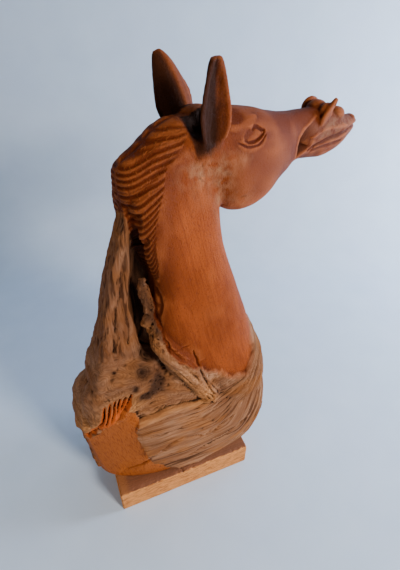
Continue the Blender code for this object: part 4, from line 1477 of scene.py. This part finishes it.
@dataclass(frozen=True)
class BasePlank:
    """The sawn board that the carving stands on."""

    low: Vector
    high: Vector
    edge: float = 1.6
    cell: float = 1.1
    crack: Rows = ((-4, -50), (-5.5, -41), (-8, -30))
    crack_width: float = 0.9
    crack_depth: float = 2.6
    crack_end: Span = (-28.0, -34.0)
    nick_from: float = -52.0
    nick_to: float = -26.0
    nicks: int = 9
    nick_depth: float = 1.3

    def rings(self) -> Array:
        """Rings along the board's length: a rounded rectangle of even cells, drawn in at both ends
        along the eased edge and then over the end face to its middle."""
        size = (np.array(self.high) - np.array(self.low)) / MM
        half_y, half_z = size[1] / 2, size[2] / 2
        outline = self.outline(half_y, half_z)
        flat = np.arange(-size[0] / 2 + self.edge, size[0] / 2 - self.edge + 1e-6, self.cell)
        turn = np.linspace(0.0, math.pi / 2, 5)[1:]
        eased = self.edge * (1.0 - np.cos(turn))
        inset = np.concatenate([eased, np.arange(self.edge + 1.0, half_z, 1.2)])
        reach = np.concatenate([self.edge * np.sin(turn), np.full(len(inset) - len(turn), self.edge)])
        end = flat[-1] + reach
        x = np.concatenate([-end[::-1], flat, end])
        drawn = np.concatenate([inset[::-1], np.zeros(len(flat)), inset])
        y = np.sign(outline[:, 0]) * np.maximum(np.abs(outline[:, 0]) - drawn[:, None], 0.0)
        z = np.sign(outline[:, 1]) * np.maximum(np.abs(outline[:, 1]) - drawn[:, None], 0.0)
        return np.stack([np.broadcast_to(x[:, None], y.shape), y, z], axis=-1)

    def outline(self, half_y: float, half_z: float) -> Array:
        """The board's section as points about one cell apart, its corners quarter circles."""
        sides = []
        angles = np.linspace(0.0, math.pi / 2, 5)[1:-1]
        for turn in range(4):
            width, height = (half_z, half_y) if turn % 2 else (half_y, half_z)
            count = int(2 * (height - self.edge) / self.cell)
            run = np.linspace(-height + self.edge, height - self.edge, count)
            side = np.stack([np.full(count, width), run], axis=1)
            bend = np.stack([np.cos(angles), np.sin(angles)], axis=1) * self.edge
            bend += np.array([width - self.edge, height - self.edge])
            cos, sin = math.cos(turn * math.pi / 2), math.sin(turn * math.pi / 2)
            sides.append(np.vstack([side, bend]) @ np.array([[cos, sin], [-sin, cos]]))
        return np.vstack(sides)

    def worn(self, points: Array) -> Array:
        """The board after saw and wear: fine waves, a crack in its top and nicks along its edge."""
        x, y, z = points.T
        half = (np.array(self.high) - np.array(self.low)) / MM / 2
        top = smooth_step(z, half[2] - 2.0, half[2] - 0.2)
        inward = 0.35 * (Noise(61).layered(points / np.array([26, 11, 5]), 2) * 0.5 + 0.5)
        edge = smooth_step(np.hypot(np.maximum(half[1] + y, 0), half[2] - z), 5.0, 0.5)
        inward += 0.9 * edge * smooth_step(Noise(62).at(points / 3.4), 0.0, 0.7)
        gap, _ = near_line(points[:, :2], self.crack)
        crack = self.crack_depth * top * np.clip(1.0 - np.abs(gap) / self.crack_width, 0.0, 1.0)
        crack *= smooth_step(y, *self.crack_end)
        spacing = (self.nick_to - self.nick_from) / self.nicks
        share = (x - self.nick_from) / spacing
        nick = np.abs(share - np.round(share)) * spacing
        span = smooth_step(x, self.nick_from - 1, self.nick_from + 1)
        span *= smooth_step(x, self.nick_to + 1, self.nick_to - 1)
        crack += self.nick_depth * span * edge * np.clip(1.0 - nick / self.crack_width, 0.0, 1.0)
        towards = -np.sign(points) * smooth_step(np.abs(points) / half, 0.9, 1.0)
        under = smooth_step(z, -half[2], -half[2] + 2.0)
        moved = points + towards * (inward * under)[:, None]
        moved[:, 2] -= crack
        return moved

    def build(self) -> Object:
        """The plank as one object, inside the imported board's box."""
        mesh = tube_mesh("base_plank_board", [self.rings()])
        bm = bmesh.new()
        bm.from_mesh(mesh)
        bmesh.ops.remove_doubles(bm, verts=bm.verts[:], dist=1e-4)
        bmesh.ops.dissolve_degenerate(bm, edges=bm.edges[:], dist=1e-4)
        bmesh.ops.recalc_face_normals(bm, faces=bm.faces[:])
        bm.to_mesh(mesh)
        bm.free()
        middle = np.array((self.low + self.high) / 2)
        points = self.worn(points_of(mesh)) * MM + middle
        move_points(mesh, np.clip(points, np.array(self.low), np.array(self.high)))
        mesh.shade_smooth()
        return placed("plank", mesh)

    def dress(self, piece: Object, material: Material) -> None:
        """Gives the plank its wood, hangs it under the root's body and hides the imported board."""
        piece.data.materials.append(material)
        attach(piece, "root")
        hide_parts("base_plank")


def linear(colour: str) -> tuple[float, float, float, float]:
    """An sRGB hex colour as linear light, with full cover."""
    parts = [int(colour[k : k + 2], 16) / 255 for k in (1, 3, 5)]
    bright = [c / 12.92 if c <= 0.04045 else ((c + 0.055) / 1.055) ** 2.4 for c in parts]
    return (*bright, 1.0)


class Board:
    """A material's node tree while it is being laid out."""

    def __init__(self, name: str) -> None:
        """Starts a material of this name with an empty tree."""
        self.material = bpy.data.materials.new(name)
        self.material.use_nodes = True
        self.tree = self.material.node_tree
        self.tree.nodes.clear()

    def add(self, kind: str, links: dict[object, object], **settings: object) -> bpy.types.Node:
        """Adds a node.

        Args:
            kind: The shader node's type.
            links: What goes into each input, by name or number: a source or a value.
            settings: The node's own settings.

        Returns:
            The node.
        """
        node = self.tree.nodes.new(f"ShaderNode{kind}")
        for name, value in settings.items():
            setattr(node, name, value)
        for key, value in links.items():
            if isinstance(value, bpy.types.Node):
                value = value.outputs[0]
            if isinstance(value, bpy.types.NodeSocket):
                self.tree.links.new(value, node.inputs[key])
            else:
                node.inputs[key].default_value = value
        return node


# The numbers of a Mix node's two colours and of their mix. A Map Range node's first three inputs
# are the value, where it gives 0 and where it gives 1.
COLOUR_A, COLOUR_B, MIXED = 6, 7, 2


@dataclass(frozen=True)
class Looks:
    """What a finish gives the shader: colour, roughness and height in millimetres."""

    colour: Source
    roughness: float
    height: Source


@dataclass(frozen=True)
class Surface:
    """What the carving's mesh tells a finish.

    place is the spot in millimetres. proud is how far the spot stands out of the ground around it,
    knotty and dusty_and_shiny are shares, the second of dust and of a painted sheen on the muzzle.
    shaded is the share of painted shade with some dirt, tan that of bright wood and
    of a painted highlight along the ledge's lip, gouged the depth of the cuts over the sawn corner.
    knife_shade is the share of painted shade in a knife's line, stained_and_shaded that of the
    ears' stain with painted shade and highlight and of painted shade in the nose's hollow, and
    head that of the head's tone and of painted shade down the neck's back edge. flow is the
    distances across and along the grain, and below the flow's top. comb holds the same for the
    mane's hair, and its share.
    """

    place: Source
    proud: Source
    knotty: Source
    dusty_and_shiny: Source
    shaded: Source
    tan: Source
    gouged: Source
    knife_shade: Source
    stained_and_shaded: Source
    head: Source
    flow: Source
    comb: Source


def fibres(
    board: Board, place: Source, size: Point, low: float, high: float, lean: float = 0.0
) -> Source:
    """Streaks of noise, long one way and narrow the other.

    Args:
        board: The tree they go into.
        place: The coordinates to read.
        size: The streaks' size along each of the coordinates' axes.
        low: The noise's value that gives 0.
        high: The noise's value that gives 1.
        lean: How far the streaks lean about the y axis, in radians.

    Returns:
        A number from 0 to 1.
    """
    laid = board.add("Mapping", {"Vector": place, "Rotation": (0.0, lean, 0.0)}, vector_type="TEXTURE")
    scaled = board.add("VectorMath", {0: laid, 1: size}, operation="DIVIDE")
    noise = board.add("TexNoise", {"Vector": scaled, "Scale": 1.0, "Detail": 2.0})
    ramp = board.add("MapRange", {0: noise.outputs["Fac"], 1: low, 2: high})
    return ramp


def coats(board: Board, ground: str, layers: list[tuple[Source, float, str]]) -> Source:
    """Colours laid over each other.

    Args:
        board: The tree they go into.
        ground: The colour below all of them.
        layers: For each, where it lies, how strongly it covers there, and its colour.

    Returns:
        The colour that shows: each layer mixed in by its mask times its strength.
    """
    shown = linear(ground)
    for mask, strength, colour in layers:
        cover = board.add("Math", {0: mask, 1: strength}, operation="MULTIPLY", use_clamp=True)
        laid = {0: cover, COLOUR_A: shown, COLOUR_B: linear(colour)}
        shown = board.add("Mix", laid, data_type="RGBA").outputs[MIXED]
    return shown


@dataclass(frozen=True)
class RaspedWood:
    """Close-grained fruitwood, rasped and rubbed with oil: warm orange-brown with darker pores."""

    light: str = "#a04e1d"
    dark: str = "#7a350f"
    # The head's darker tone, also painted shade down the neck's back edge.
    browned_and_shaded: str = "#582309"
    # The ears' browner stain with painted shade on them, and painted shade in the nose's hollow.
    stain_and_shade: str = "#2c1306"
    pore: str = "#602609"
    # Pale dust and filler, and a painted sheen on the muzzle.
    dusty_and_shiny: str = "#a4805f"
    # The colour of painted shade in the knife's cuts and in the recesses.
    groove: str = "#4a1a08"
    # The colour of the tool's bright nicks, and of the painted highlight, partly wear, on proud ridges.
    worn: str = "#bd6a38"
    # Painted shade with some dirt, in the hollow behind the neck and between the ears.
    dirt_and_shade: str = "#2e160a"
    roughness: float = 0.6
    lean: float = math.radians(-12.0)

    def looks(self, board: Board, surface: Surface) -> Looks:
        """The finish as sockets.

        Args:
            board: The tree it goes into.
            surface: What the mesh tells it.

        Returns:
            Its colour, roughness and height.
        """
        place = surface.place
        # Year rings cut lengthwise stand about 2 mm apart and show as faint streaks down the neck.
        broad = fibres(board, place, (30, 30, 60), 0.32, 0.68, self.lean)
        streak = fibres(board, place, (1.5, 3.0, 60), 0.45, 0.68, self.lean)
        # Real pores are a tenth of a millimetre wide; these are drawn 0.7 mm wide to show at all.
        pore = fibres(board, place, (0.7, 0.7, 2.6), 0.56, 0.70, self.lean)
        patch = fibres(board, place, (6.0, 6.0, 7.0), 0.36, 0.70)
        dust_and_sheen = board.add("Math", {0: patch, 1: surface.dusty_and_shiny}, operation="MULTIPLY")
        # The rasp's teeth leave a stipple; real marks are 0.5 mm apart, these are drawn over 1 mm.
        rasp = fibres(board, place, (1.2, 1.2, 0.8), 0.40, 0.70)
        hair = board.add("SeparateXYZ", {0: surface.comb}).outputs["Z"]
        # A comb-like tool left bright nicks across the locks, about 1.4 mm apart.
        nick = fibres(board, surface.comb, (2.6, 0.7, 1.0), 0.56, 0.66)
        nicks = board.add("Math", {0: nick, 1: hair}, operation="MULTIPLY")
        # Painted shade in the recesses: the further a spot lies below the ground around it, the darker.
        sunk_shade = board.add("MapRange", {0: surface.proud, 1: -0.15, 2: -0.9})
        # Painted highlight on the proud ridges, partly their wear.
        crest = board.add("MapRange", {0: surface.proud, 1: 0.15, 2: 0.7})
        colour = coats(
            board,
            self.light,
            [
                (broad, 0.75, self.dark),
                (streak, 0.45, self.pore),
                (pore, 0.7, self.pore),
                (hair, 0.3, self.dark),
                # The head's darker tone, and painted shade down the neck's back edge.
                (surface.head, 0.87, self.browned_and_shaded),
                (rasp, 0.3, self.pore),
                # Pale dust, and a painted sheen on the muzzle.
                (dust_and_sheen, 0.5, self.dusty_and_shiny),
                (nicks, 0.4, self.worn),
                # Painted shade in the knife's cuts.
                (surface.knife_shade, 0.75, self.groove),
                # Painted shade in the recesses.
                (sunk_shade, 0.75, self.groove),
                # Painted highlight on the proud ridges, partly wear.
                (crest, 0.4, self.worn),
                # Painted shade and stain on the ears, and painted shade in the nose's hollow.
                (surface.stained_and_shaded, 0.95, self.stain_and_shade),
                # Painted shade with some dirt, deep in the hollows.
                (surface.shaded, 0.7, self.dirt_and_shade),
            ],
        )
        cut_in = board.add("Math", {0: pore, 1: -0.3, 2: nicks}, operation="MULTIPLY_ADD")
        height = board.add("Math", {0: rasp, 1: -0.3, 2: cut_in}, operation="MULTIPLY_ADD")
        return Looks(colour, self.roughness, height)


@dataclass(frozen=True)
class WeatheredRoot:
    """The same wood left as it grew and weathered: grey-brown, split along its flowing grain."""

    grey: str = "#a87b5c"
    brown: str = "#6b3e22"
    orange: str = "#a0632f"
    # Bright wood, and the painted highlight along the ledge's lip.
    tan: str = "#c2834c"
    gouge: str = "#b4551f"
    split: str = "#3a1f10"
    # The colour of painted shade in every recess, cracks among them.
    crack: str = "#1f0f07"
    knot: str = "#34231b"
    # Painted shade with some dirt, in the hollow behind the neck and between the ears.
    dirt_and_shade: str = "#1e0f08"
    roughness: float = 0.8
    wall_foot: float = 160.0
    wall_top: float = 176.0

    def looks(self, board: Board, surface: Surface, seat: float) -> Looks:
        """The finish as sockets.

        Args:
            board: The tree it goes into.
            surface: What the mesh tells it.
            seat: The height of the plank's top in millimetres.

        Returns:
            Its colour, roughness and height.
        """
        place = surface.place
        grain = board.add("SeparateXYZ", {0: surface.flow})
        spot = board.add("SeparateXYZ", {0: place})
        across_along = {"X": grain.outputs["X"], "Y": grain.outputs["Y"], "Z": spot.outputs["Y"]}
        run = board.add("CombineXYZ", across_along)
        # Weathered fibres stand about a millimetre apart. They flow below, and run upright in the wall.
        wall = {0: spot.outputs["Z"], 1: seat + self.wall_foot, 2: seat + self.wall_top}
        above = board.add("MapRange", wall)
        # Longer splits stand 3 to 5 mm apart; they show as thin dark lines.
        fine, broad, split = (
            board.add(
                "Mix",
                {0: above, 2: fibres(board, run, *flowing), 3: fibres(board, place, *standing)},
            )
            for flowing, standing in (
                (((1.1, 26, 30), 0.40, 0.62), ((1.4, 1.4, 34), 0.40, 0.62)),
                (((6.0, 80, 50), 0.36, 0.64), ((6, 6, 80), 0.36, 0.64)),
                (((2.4, 60, 40), 0.57, 0.66), ((3, 3, 60), 0.56, 0.66)),
            )
        )
        # Over the flow's top the wood is burl: its fibres curl round each other, about 2 mm apart.
        slope = fibres(board, place, (30, 30, 20), 0.2, 0.8)
        turns = board.add("Math", {0: slope, 1: 15.0}, operation="MULTIPLY")
        rings = board.add("Math", {0: turns, 1: 0.5}, operation="PINGPONG")
        curled = board.add("MapRange", {0: rings, 1: 0.45, 2: -0.6})
        in_flow = board.add("MapRange", {0: grain.outputs["Z"], 1: -1.0, 2: 1.0})
        flows = board.add("Math", {0: above, 1: in_flow}, operation="MAXIMUM")
        splits = board.add("Mix", {0: flows, 2: curled, 3: split})
        warm = fibres(board, place, (26, 26, 16), 0.46, 0.64)
        gouged = board.add("MapRange", {0: surface.gouged, 1: 0.3, 2: 1.6})
        # Painted shade in the recesses: the further a spot lies below the ground around it, the darker.
        sunk_shade = board.add("MapRange", {0: surface.proud, 1: -0.15, 2: -0.85})
        colour = coats(
            board,
            self.grey,
            [
                (broad, 0.7, self.brown),
                (warm, 0.5, self.orange),
                # Bright wood, with a painted highlight along the ledge's lip.
                (surface.tan, 0.75, self.tan),
                (above, 0.5, self.brown),
                (fine, 0.5, self.brown),
                (splits, 0.8, self.split),
                (surface.knotty, 0.92, self.knot),
                (gouged, 0.95, self.gouge),
                # Painted shade in the recesses and cracks.
                (sunk_shade, 0.95, self.crack),
                # Painted shade with some dirt, deep in the hollows.
                (surface.shaded, 0.9, self.dirt_and_shade),
            ],
        )
        height = board.add("Math", {0: fine, 1: -0.4}, operation="MULTIPLY")
        return Looks(colour, self.roughness, height)


@dataclass(frozen=True)
class FreshSawCut:
    """A saw cut through the same wood: even bright orange with short torn fibres."""

    light: str = "#a45824"
    dark: str = "#743512"
    roughness: float = 0.62

    def looks(self, board: Board, surface: Surface) -> Looks:
        """The finish as sockets.

        Args:
            board: The tree it goes into.
            surface: What the mesh tells it.

        Returns:
            Its colour, roughness and height.
        """
        torn = fibres(board, surface.place, (0.9, 0.9, 8), 0.48, 0.70, math.radians(-14.0))
        colour = coats(board, self.light, [(torn, 0.85, self.dark)])
        height = board.add("Math", {0: torn, 1: -0.2}, operation="MULTIPLY")
        return Looks(colour, self.roughness, height)


@dataclass(frozen=True)
class CarvedRootWood:
    """The whole block: rasped wood, weathered root and the sawn corner, each in its zone."""

    seat: float
    rasped: RaspedWood = RaspedWood()
    weathered: WeatheredRoot = WeatheredRoot()
    cut: FreshSawCut = FreshSawCut()
    ragged: float = 1.6

    def read(self, board: Board) -> tuple[Surface, Source]:
        """Reads the mesh's tables: the surface's facts, and the zones apart from them."""
        metres = board.add("TexCoord", {}).outputs["Object"]
        place = board.add("VectorMath", {0: metres, 3: 1.0 / MM}, operation="SCALE")
        tables = {
            name: board.add("Attribute", {}, attribute_name=name).outputs["Vector"]
            for name in ("zones", "marks", "flow", "comb", "dirt_and_shade", "shade_and_stains")
        }
        facts: list[Source] = []
        for name in ("marks", "dirt_and_shade", "shade_and_stains"):
            facts += board.add("SeparateXYZ", {0: tables[name]}).outputs
        return Surface(place, *facts, tables["flow"], tables["comb"]), tables["zones"]

    def build(self) -> Material:
        """The material: each zone's finish, taken where its distance field climbs over 0."""
        board = Board("oiled_root_wood")
        surface, zones = self.read(board)
        rasped = self.rasped.looks(board, surface)
        weathered = self.weathered.looks(board, surface, self.seat)
        cut = self.cut.looks(board, surface)
        apart = board.add("SeparateXYZ", {0: zones})
        wander = fibres(board, surface.place, (2.2, 2.2, 2.2), 0.0, 1.0)
        colour, height = rasped.colour, rasped.height
        roughness: Source | float = rasped.roughness
        half = board.add(
            "Math", {0: wander, 1: self.ragged, 2: -self.ragged / 2}, operation="MULTIPLY_ADD"
        )
        for depth, softness, looks in (
            (apart.outputs["X"], apart.outputs["Z"], weathered),
            (apart.outputs["Y"], 0.5, cut),
        ):
            moved = board.add("Math", {0: depth, 1: half}, operation="ADD")
            even = board.add("Math", {0: moved, 1: softness}, operation="DIVIDE")
            zone = board.add("MapRange", {0: even, 1: -1.0, 2: 1.0})
            mixed = {0: zone, COLOUR_A: colour, COLOUR_B: looks.colour}
            colour = board.add("Mix", mixed, data_type="RGBA").outputs[MIXED]
            roughness = board.add("Mix", {0: zone, 2: roughness, 3: looks.roughness})
            height = board.add("Mix", {0: zone, 2: height, 3: looks.height})
        bump = board.add("Bump", {"Height": height, "Distance": MM, "Strength": 0.9})
        shader = board.add(
            "BsdfPrincipled",
            {
                "Base Color": colour,
                "Roughness": roughness,
                "Normal": bump,
                "IOR": 1.5,
                # Open pores trap most of the shine, so the wood's colour stays full.
                "Specular IOR Level": 0.07,
            },
        )
        board.add("OutputMaterial", {"Surface": shader})
        return board.material


@dataclass(frozen=True)
class SawnPlankWood:
    """A softwood offcut, sawn and left dry: pale sides with torn fibres, a browner planed top, darkened
    further as painted shade of the carving above.
    """

    side: str = "#dd9350"
    torn: str = "#a05a26"
    pore: str = "#6b3c1e"
    # The top's browner wood, with painted shade of the carving above it.
    top: str = "#84543a"
    groove: str = "#664434"
    worn_end: str = "#a0683c"
    # The top is worn bright at one end: where that fades out and is full, in metres from the end.
    worn_reach: Span = (0.013, 0.008)
    # How far up the surface faces where the top's tone begins, and where it is full.
    top_facing: Span = (0.80, 0.90)
    roughness: float = 0.72

    def build(self, low: Vector) -> Material:
        """The material.

        Args:
            low: The board's lowest corner in metres.

        Returns:
            The material.
        """
        board = Board("sawn_pine")
        metres = board.add("TexCoord", {}).outputs["Object"]
        place = board.add("VectorMath", {0: metres, 3: 1.0 / MM}, operation="SCALE")
        apart = board.add("SeparateXYZ", {0: metres})
        torn = fibres(board, place, (7, 3, 1.5), 0.42, 0.68, math.radians(-6.0))
        pore = fibres(board, place, (3.0, 1.0, 0.8), 0.62, 0.72)
        sides = coats(board, self.side, [(torn, 0.85, self.torn), (pore, 0.6, self.pore)])
        planed = fibres(board, place, (60, 2.2, 8), 0.4, 0.7)
        fade, full = (low.x + reach for reach in self.worn_reach)
        end = board.add("MapRange", {0: apart.outputs["X"], 1: fade, 2: full})
        top_tone_and_shade = coats(board, self.top, [(planed, 0.5, self.groove), (end, 0.7, self.worn_end)])
        ragged = fibres(board, place, (2, 2, 2), 0.3, 0.7)
        upward = board.add("SeparateXYZ", {0: board.add("TexCoord", {}).outputs["Normal"]})
        edge = board.add("Math", {0: ragged, 1: 0.35, 2: upward.outputs["Z"]}, operation="MULTIPLY_ADD")
        # Surfaces that face up take the top's tone, painted shade included.
        facing = {0: edge, 1: self.top_facing[0], 2: self.top_facing[1]}
        on_top = board.add("MapRange", facing)
        shown = {0: on_top, COLOUR_A: sides, COLOUR_B: top_tone_and_shade}
        colour = board.add("Mix", shown, data_type="RGBA")
        pits = fibres(board, place, (2.0, 1.2, 0.9), 0.35, 0.7)
        bump = board.add("Bump", {"Height": pits, "Distance": 0.5 * MM, "Strength": 0.8})
        shader = board.add(
            "BsdfPrincipled",
            {
                "Base Color": colour.outputs[MIXED],
                "Normal": bump,
                "Roughness": self.roughness,
                "IOR": 1.5,
                "Specular IOR Level": 0.15,
            },
        )
        board.add("OutputMaterial", {"Surface": shader})
        return board.material


@dataclass(frozen=True)
class Lamp:
    """A square light: its name, place, aim, side in metres, power in watts and colour.

    Its place and aim are distances to the camera's right, ahead and up from the plank.
    """

    name: str
    at: Point
    aim: Point
    size: float
    watts: float
    tint: str


@dataclass(frozen=True)
class Studio:
    """A pale paper sweep, the lights and the camera."""

    camera_at: Point = (-0.0717, -0.2602, 0.4526)
    forward: Point = (0.3035, 0.7348, -0.6067)
    up: Point = (0.2316, 0.5607, 0.795)
    lens: float = 25.26
    image_height: int = 570
    principal_row: float = 284.0
    back_at: float = 0.62
    bend_radius: float = 0.30
    reach: float = 2.5
    half_width: float = 3.0
    paper: str = "#cbdef4"
    paper_fleck: str = "#c2d6ee"
    paper_roughness: float = 0.85
    # The key and a window from the right, and a weak fill from the left.
    lamps: tuple[Lamp, ...] = (
        Lamp("key", (0.93, -0.88, 0.80), (0.0, 0.0, 0.22), 0.3, 21.8, "#fff3e6"),
        Lamp("window", (1.02, 0.26, 0.42), (0.42, 0.6, 0.12), 0.4, 16.0, "#eaf2ff"),
        Lamp("fill", (-0.45, -0.42, 0.36), (-0.06, 0.0, 0.12), 0.3, 1.0, "#fff3e6"),
    )
    room: str = "#e8eaec"
    room_strength: float = 0.13

    def axes(self) -> tuple[Vector, Vector]:
        """The level ways to the camera's right and straight ahead."""
        ahead = Vector((self.forward[0], self.forward[1], 0.0)).normalized()
        return Vector((ahead.y, -ahead.x, 0.0)), ahead

    def sweep(self) -> Object:
        """The paper: a floor that bends up through a quarter circle into a wall, drawn sideways."""
        right, ahead = (np.array(v) for v in self.axes())
        angle = np.linspace(0.0, math.pi / 2, 24)
        bend_start = self.back_at - self.bend_radius
        bend = bend_start + self.bend_radius * np.sin(angle)
        run = np.concatenate([[-self.reach], bend, [self.back_at]])
        rise = np.concatenate([[0.0], self.bend_radius * (1.0 - np.cos(angle)), [self.reach]])
        profile = run[:, None] * ahead + rise[:, None] * np.array([0.0, 0.0, 1.0])
        across = np.linspace(-self.half_width, self.half_width, 9)
        grid = profile[:, None, :] + across[None, :, None] * right
        count, size = grid.shape[:2]
        index = np.arange(count * size).reshape(count, size)
        quads = np.stack([index[:-1, :-1], index[:-1, 1:], index[1:, 1:], index[1:, :-1]], axis=-1)
        mesh = bpy.data.meshes.new("paper_sweep")
        mesh.from_pydata(grid.reshape(-1, 3).tolist(), [], quads.reshape(-1, 4).tolist())
        mesh.shade_smooth()
        obj = placed("paper_sweep", mesh)
        board = Board("matt_paper")
        metres = board.add("TexCoord", {}).outputs["Object"]
        grain = fibres(board, metres, (0.05, 0.05, 0.05), 0.2, 0.8)
        tone = board.add(
            "Mix",
            {0: grain, COLOUR_A: linear(self.paper), COLOUR_B: linear(self.paper_fleck)},
            data_type="RGBA",
        )
        shader = board.add(
            "BsdfPrincipled", {"Base Color": tone.outputs[MIXED], "Roughness": self.paper_roughness}
        )
        board.add("OutputMaterial", {"Surface": shader})
        mesh.materials.append(board.material)
        return obj

    def hang(self, lamp: Lamp) -> None:
        """Hangs a light at its place and turns it to its aim."""
        right, ahead = self.axes()
        data = bpy.data.lights.new(lamp.name, "AREA")
        data.size = lamp.size
        data.energy = lamp.watts
        data.color = linear(lamp.tint)[:3]
        hung = placed(lamp.name, data)
        at, aim = (right * x + ahead * y + Vector((0.0, 0.0, z)) for x, y, z in (lamp.at, lamp.aim))
        hung.location = at
        hung.rotation_euler = (aim - at).to_track_quat("-Z", "Y").to_euler()

    def light(self) -> None:
        """The lamps and the room's pale light."""
        for lamp in self.lamps:
            self.hang(lamp)
        world = bpy.data.worlds.new("room")
        world.use_nodes = True
        background = world.node_tree.nodes["Background"]
        background.inputs["Color"].default_value = linear(self.room)
        background.inputs["Strength"].default_value = self.room_strength
        bpy.context.scene.world = world

    def camera(self) -> None:
        """The camera at the photograph's angle."""
        forward, up = Vector(self.forward).normalized(), Vector(self.up)
        right = forward.cross(up).normalized()
        up = right.cross(forward)
        data = bpy.data.cameras.new("camera")
        data.lens = self.lens
        data.sensor_width = 36.0
        data.shift_y = (self.principal_row - self.image_height / 2) / self.image_height
        data.clip_start = 0.01
        camera = placed("camera", data)
        turn = Matrix((right, up, -forward)).transposed().to_4x4()
        camera.matrix_world = Matrix.Translation(Vector(self.camera_at)) @ turn
        bpy.context.scene.camera = camera

    def build(self) -> None:
        """Sets all of it up."""
        self.sweep()
        self.light()
        self.camera()


def main() -> None:
    """Builds and dresses the pieces in order, from the plank up, and reports each one."""
    Studio().build()
    plank_low, plank_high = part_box("base_plank")
    plank = BasePlank(plank_low, plank_high)
    board = plank.build()
    plank.dress(board, SawnPlankWood().build(plank_low))
    log.info("plank: %d faces", len(board.data.polygons))
    horse = CarvedHorse(seat=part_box("carved_horse_head")[0].z)
    carving = horse.build()
    horse.dress(carving, CarvedRootWood(horse.seat / MM).build())
    log.info("carving: %d faces", len(carving.data.polygons))


if __name__ == "__main__":
    main()
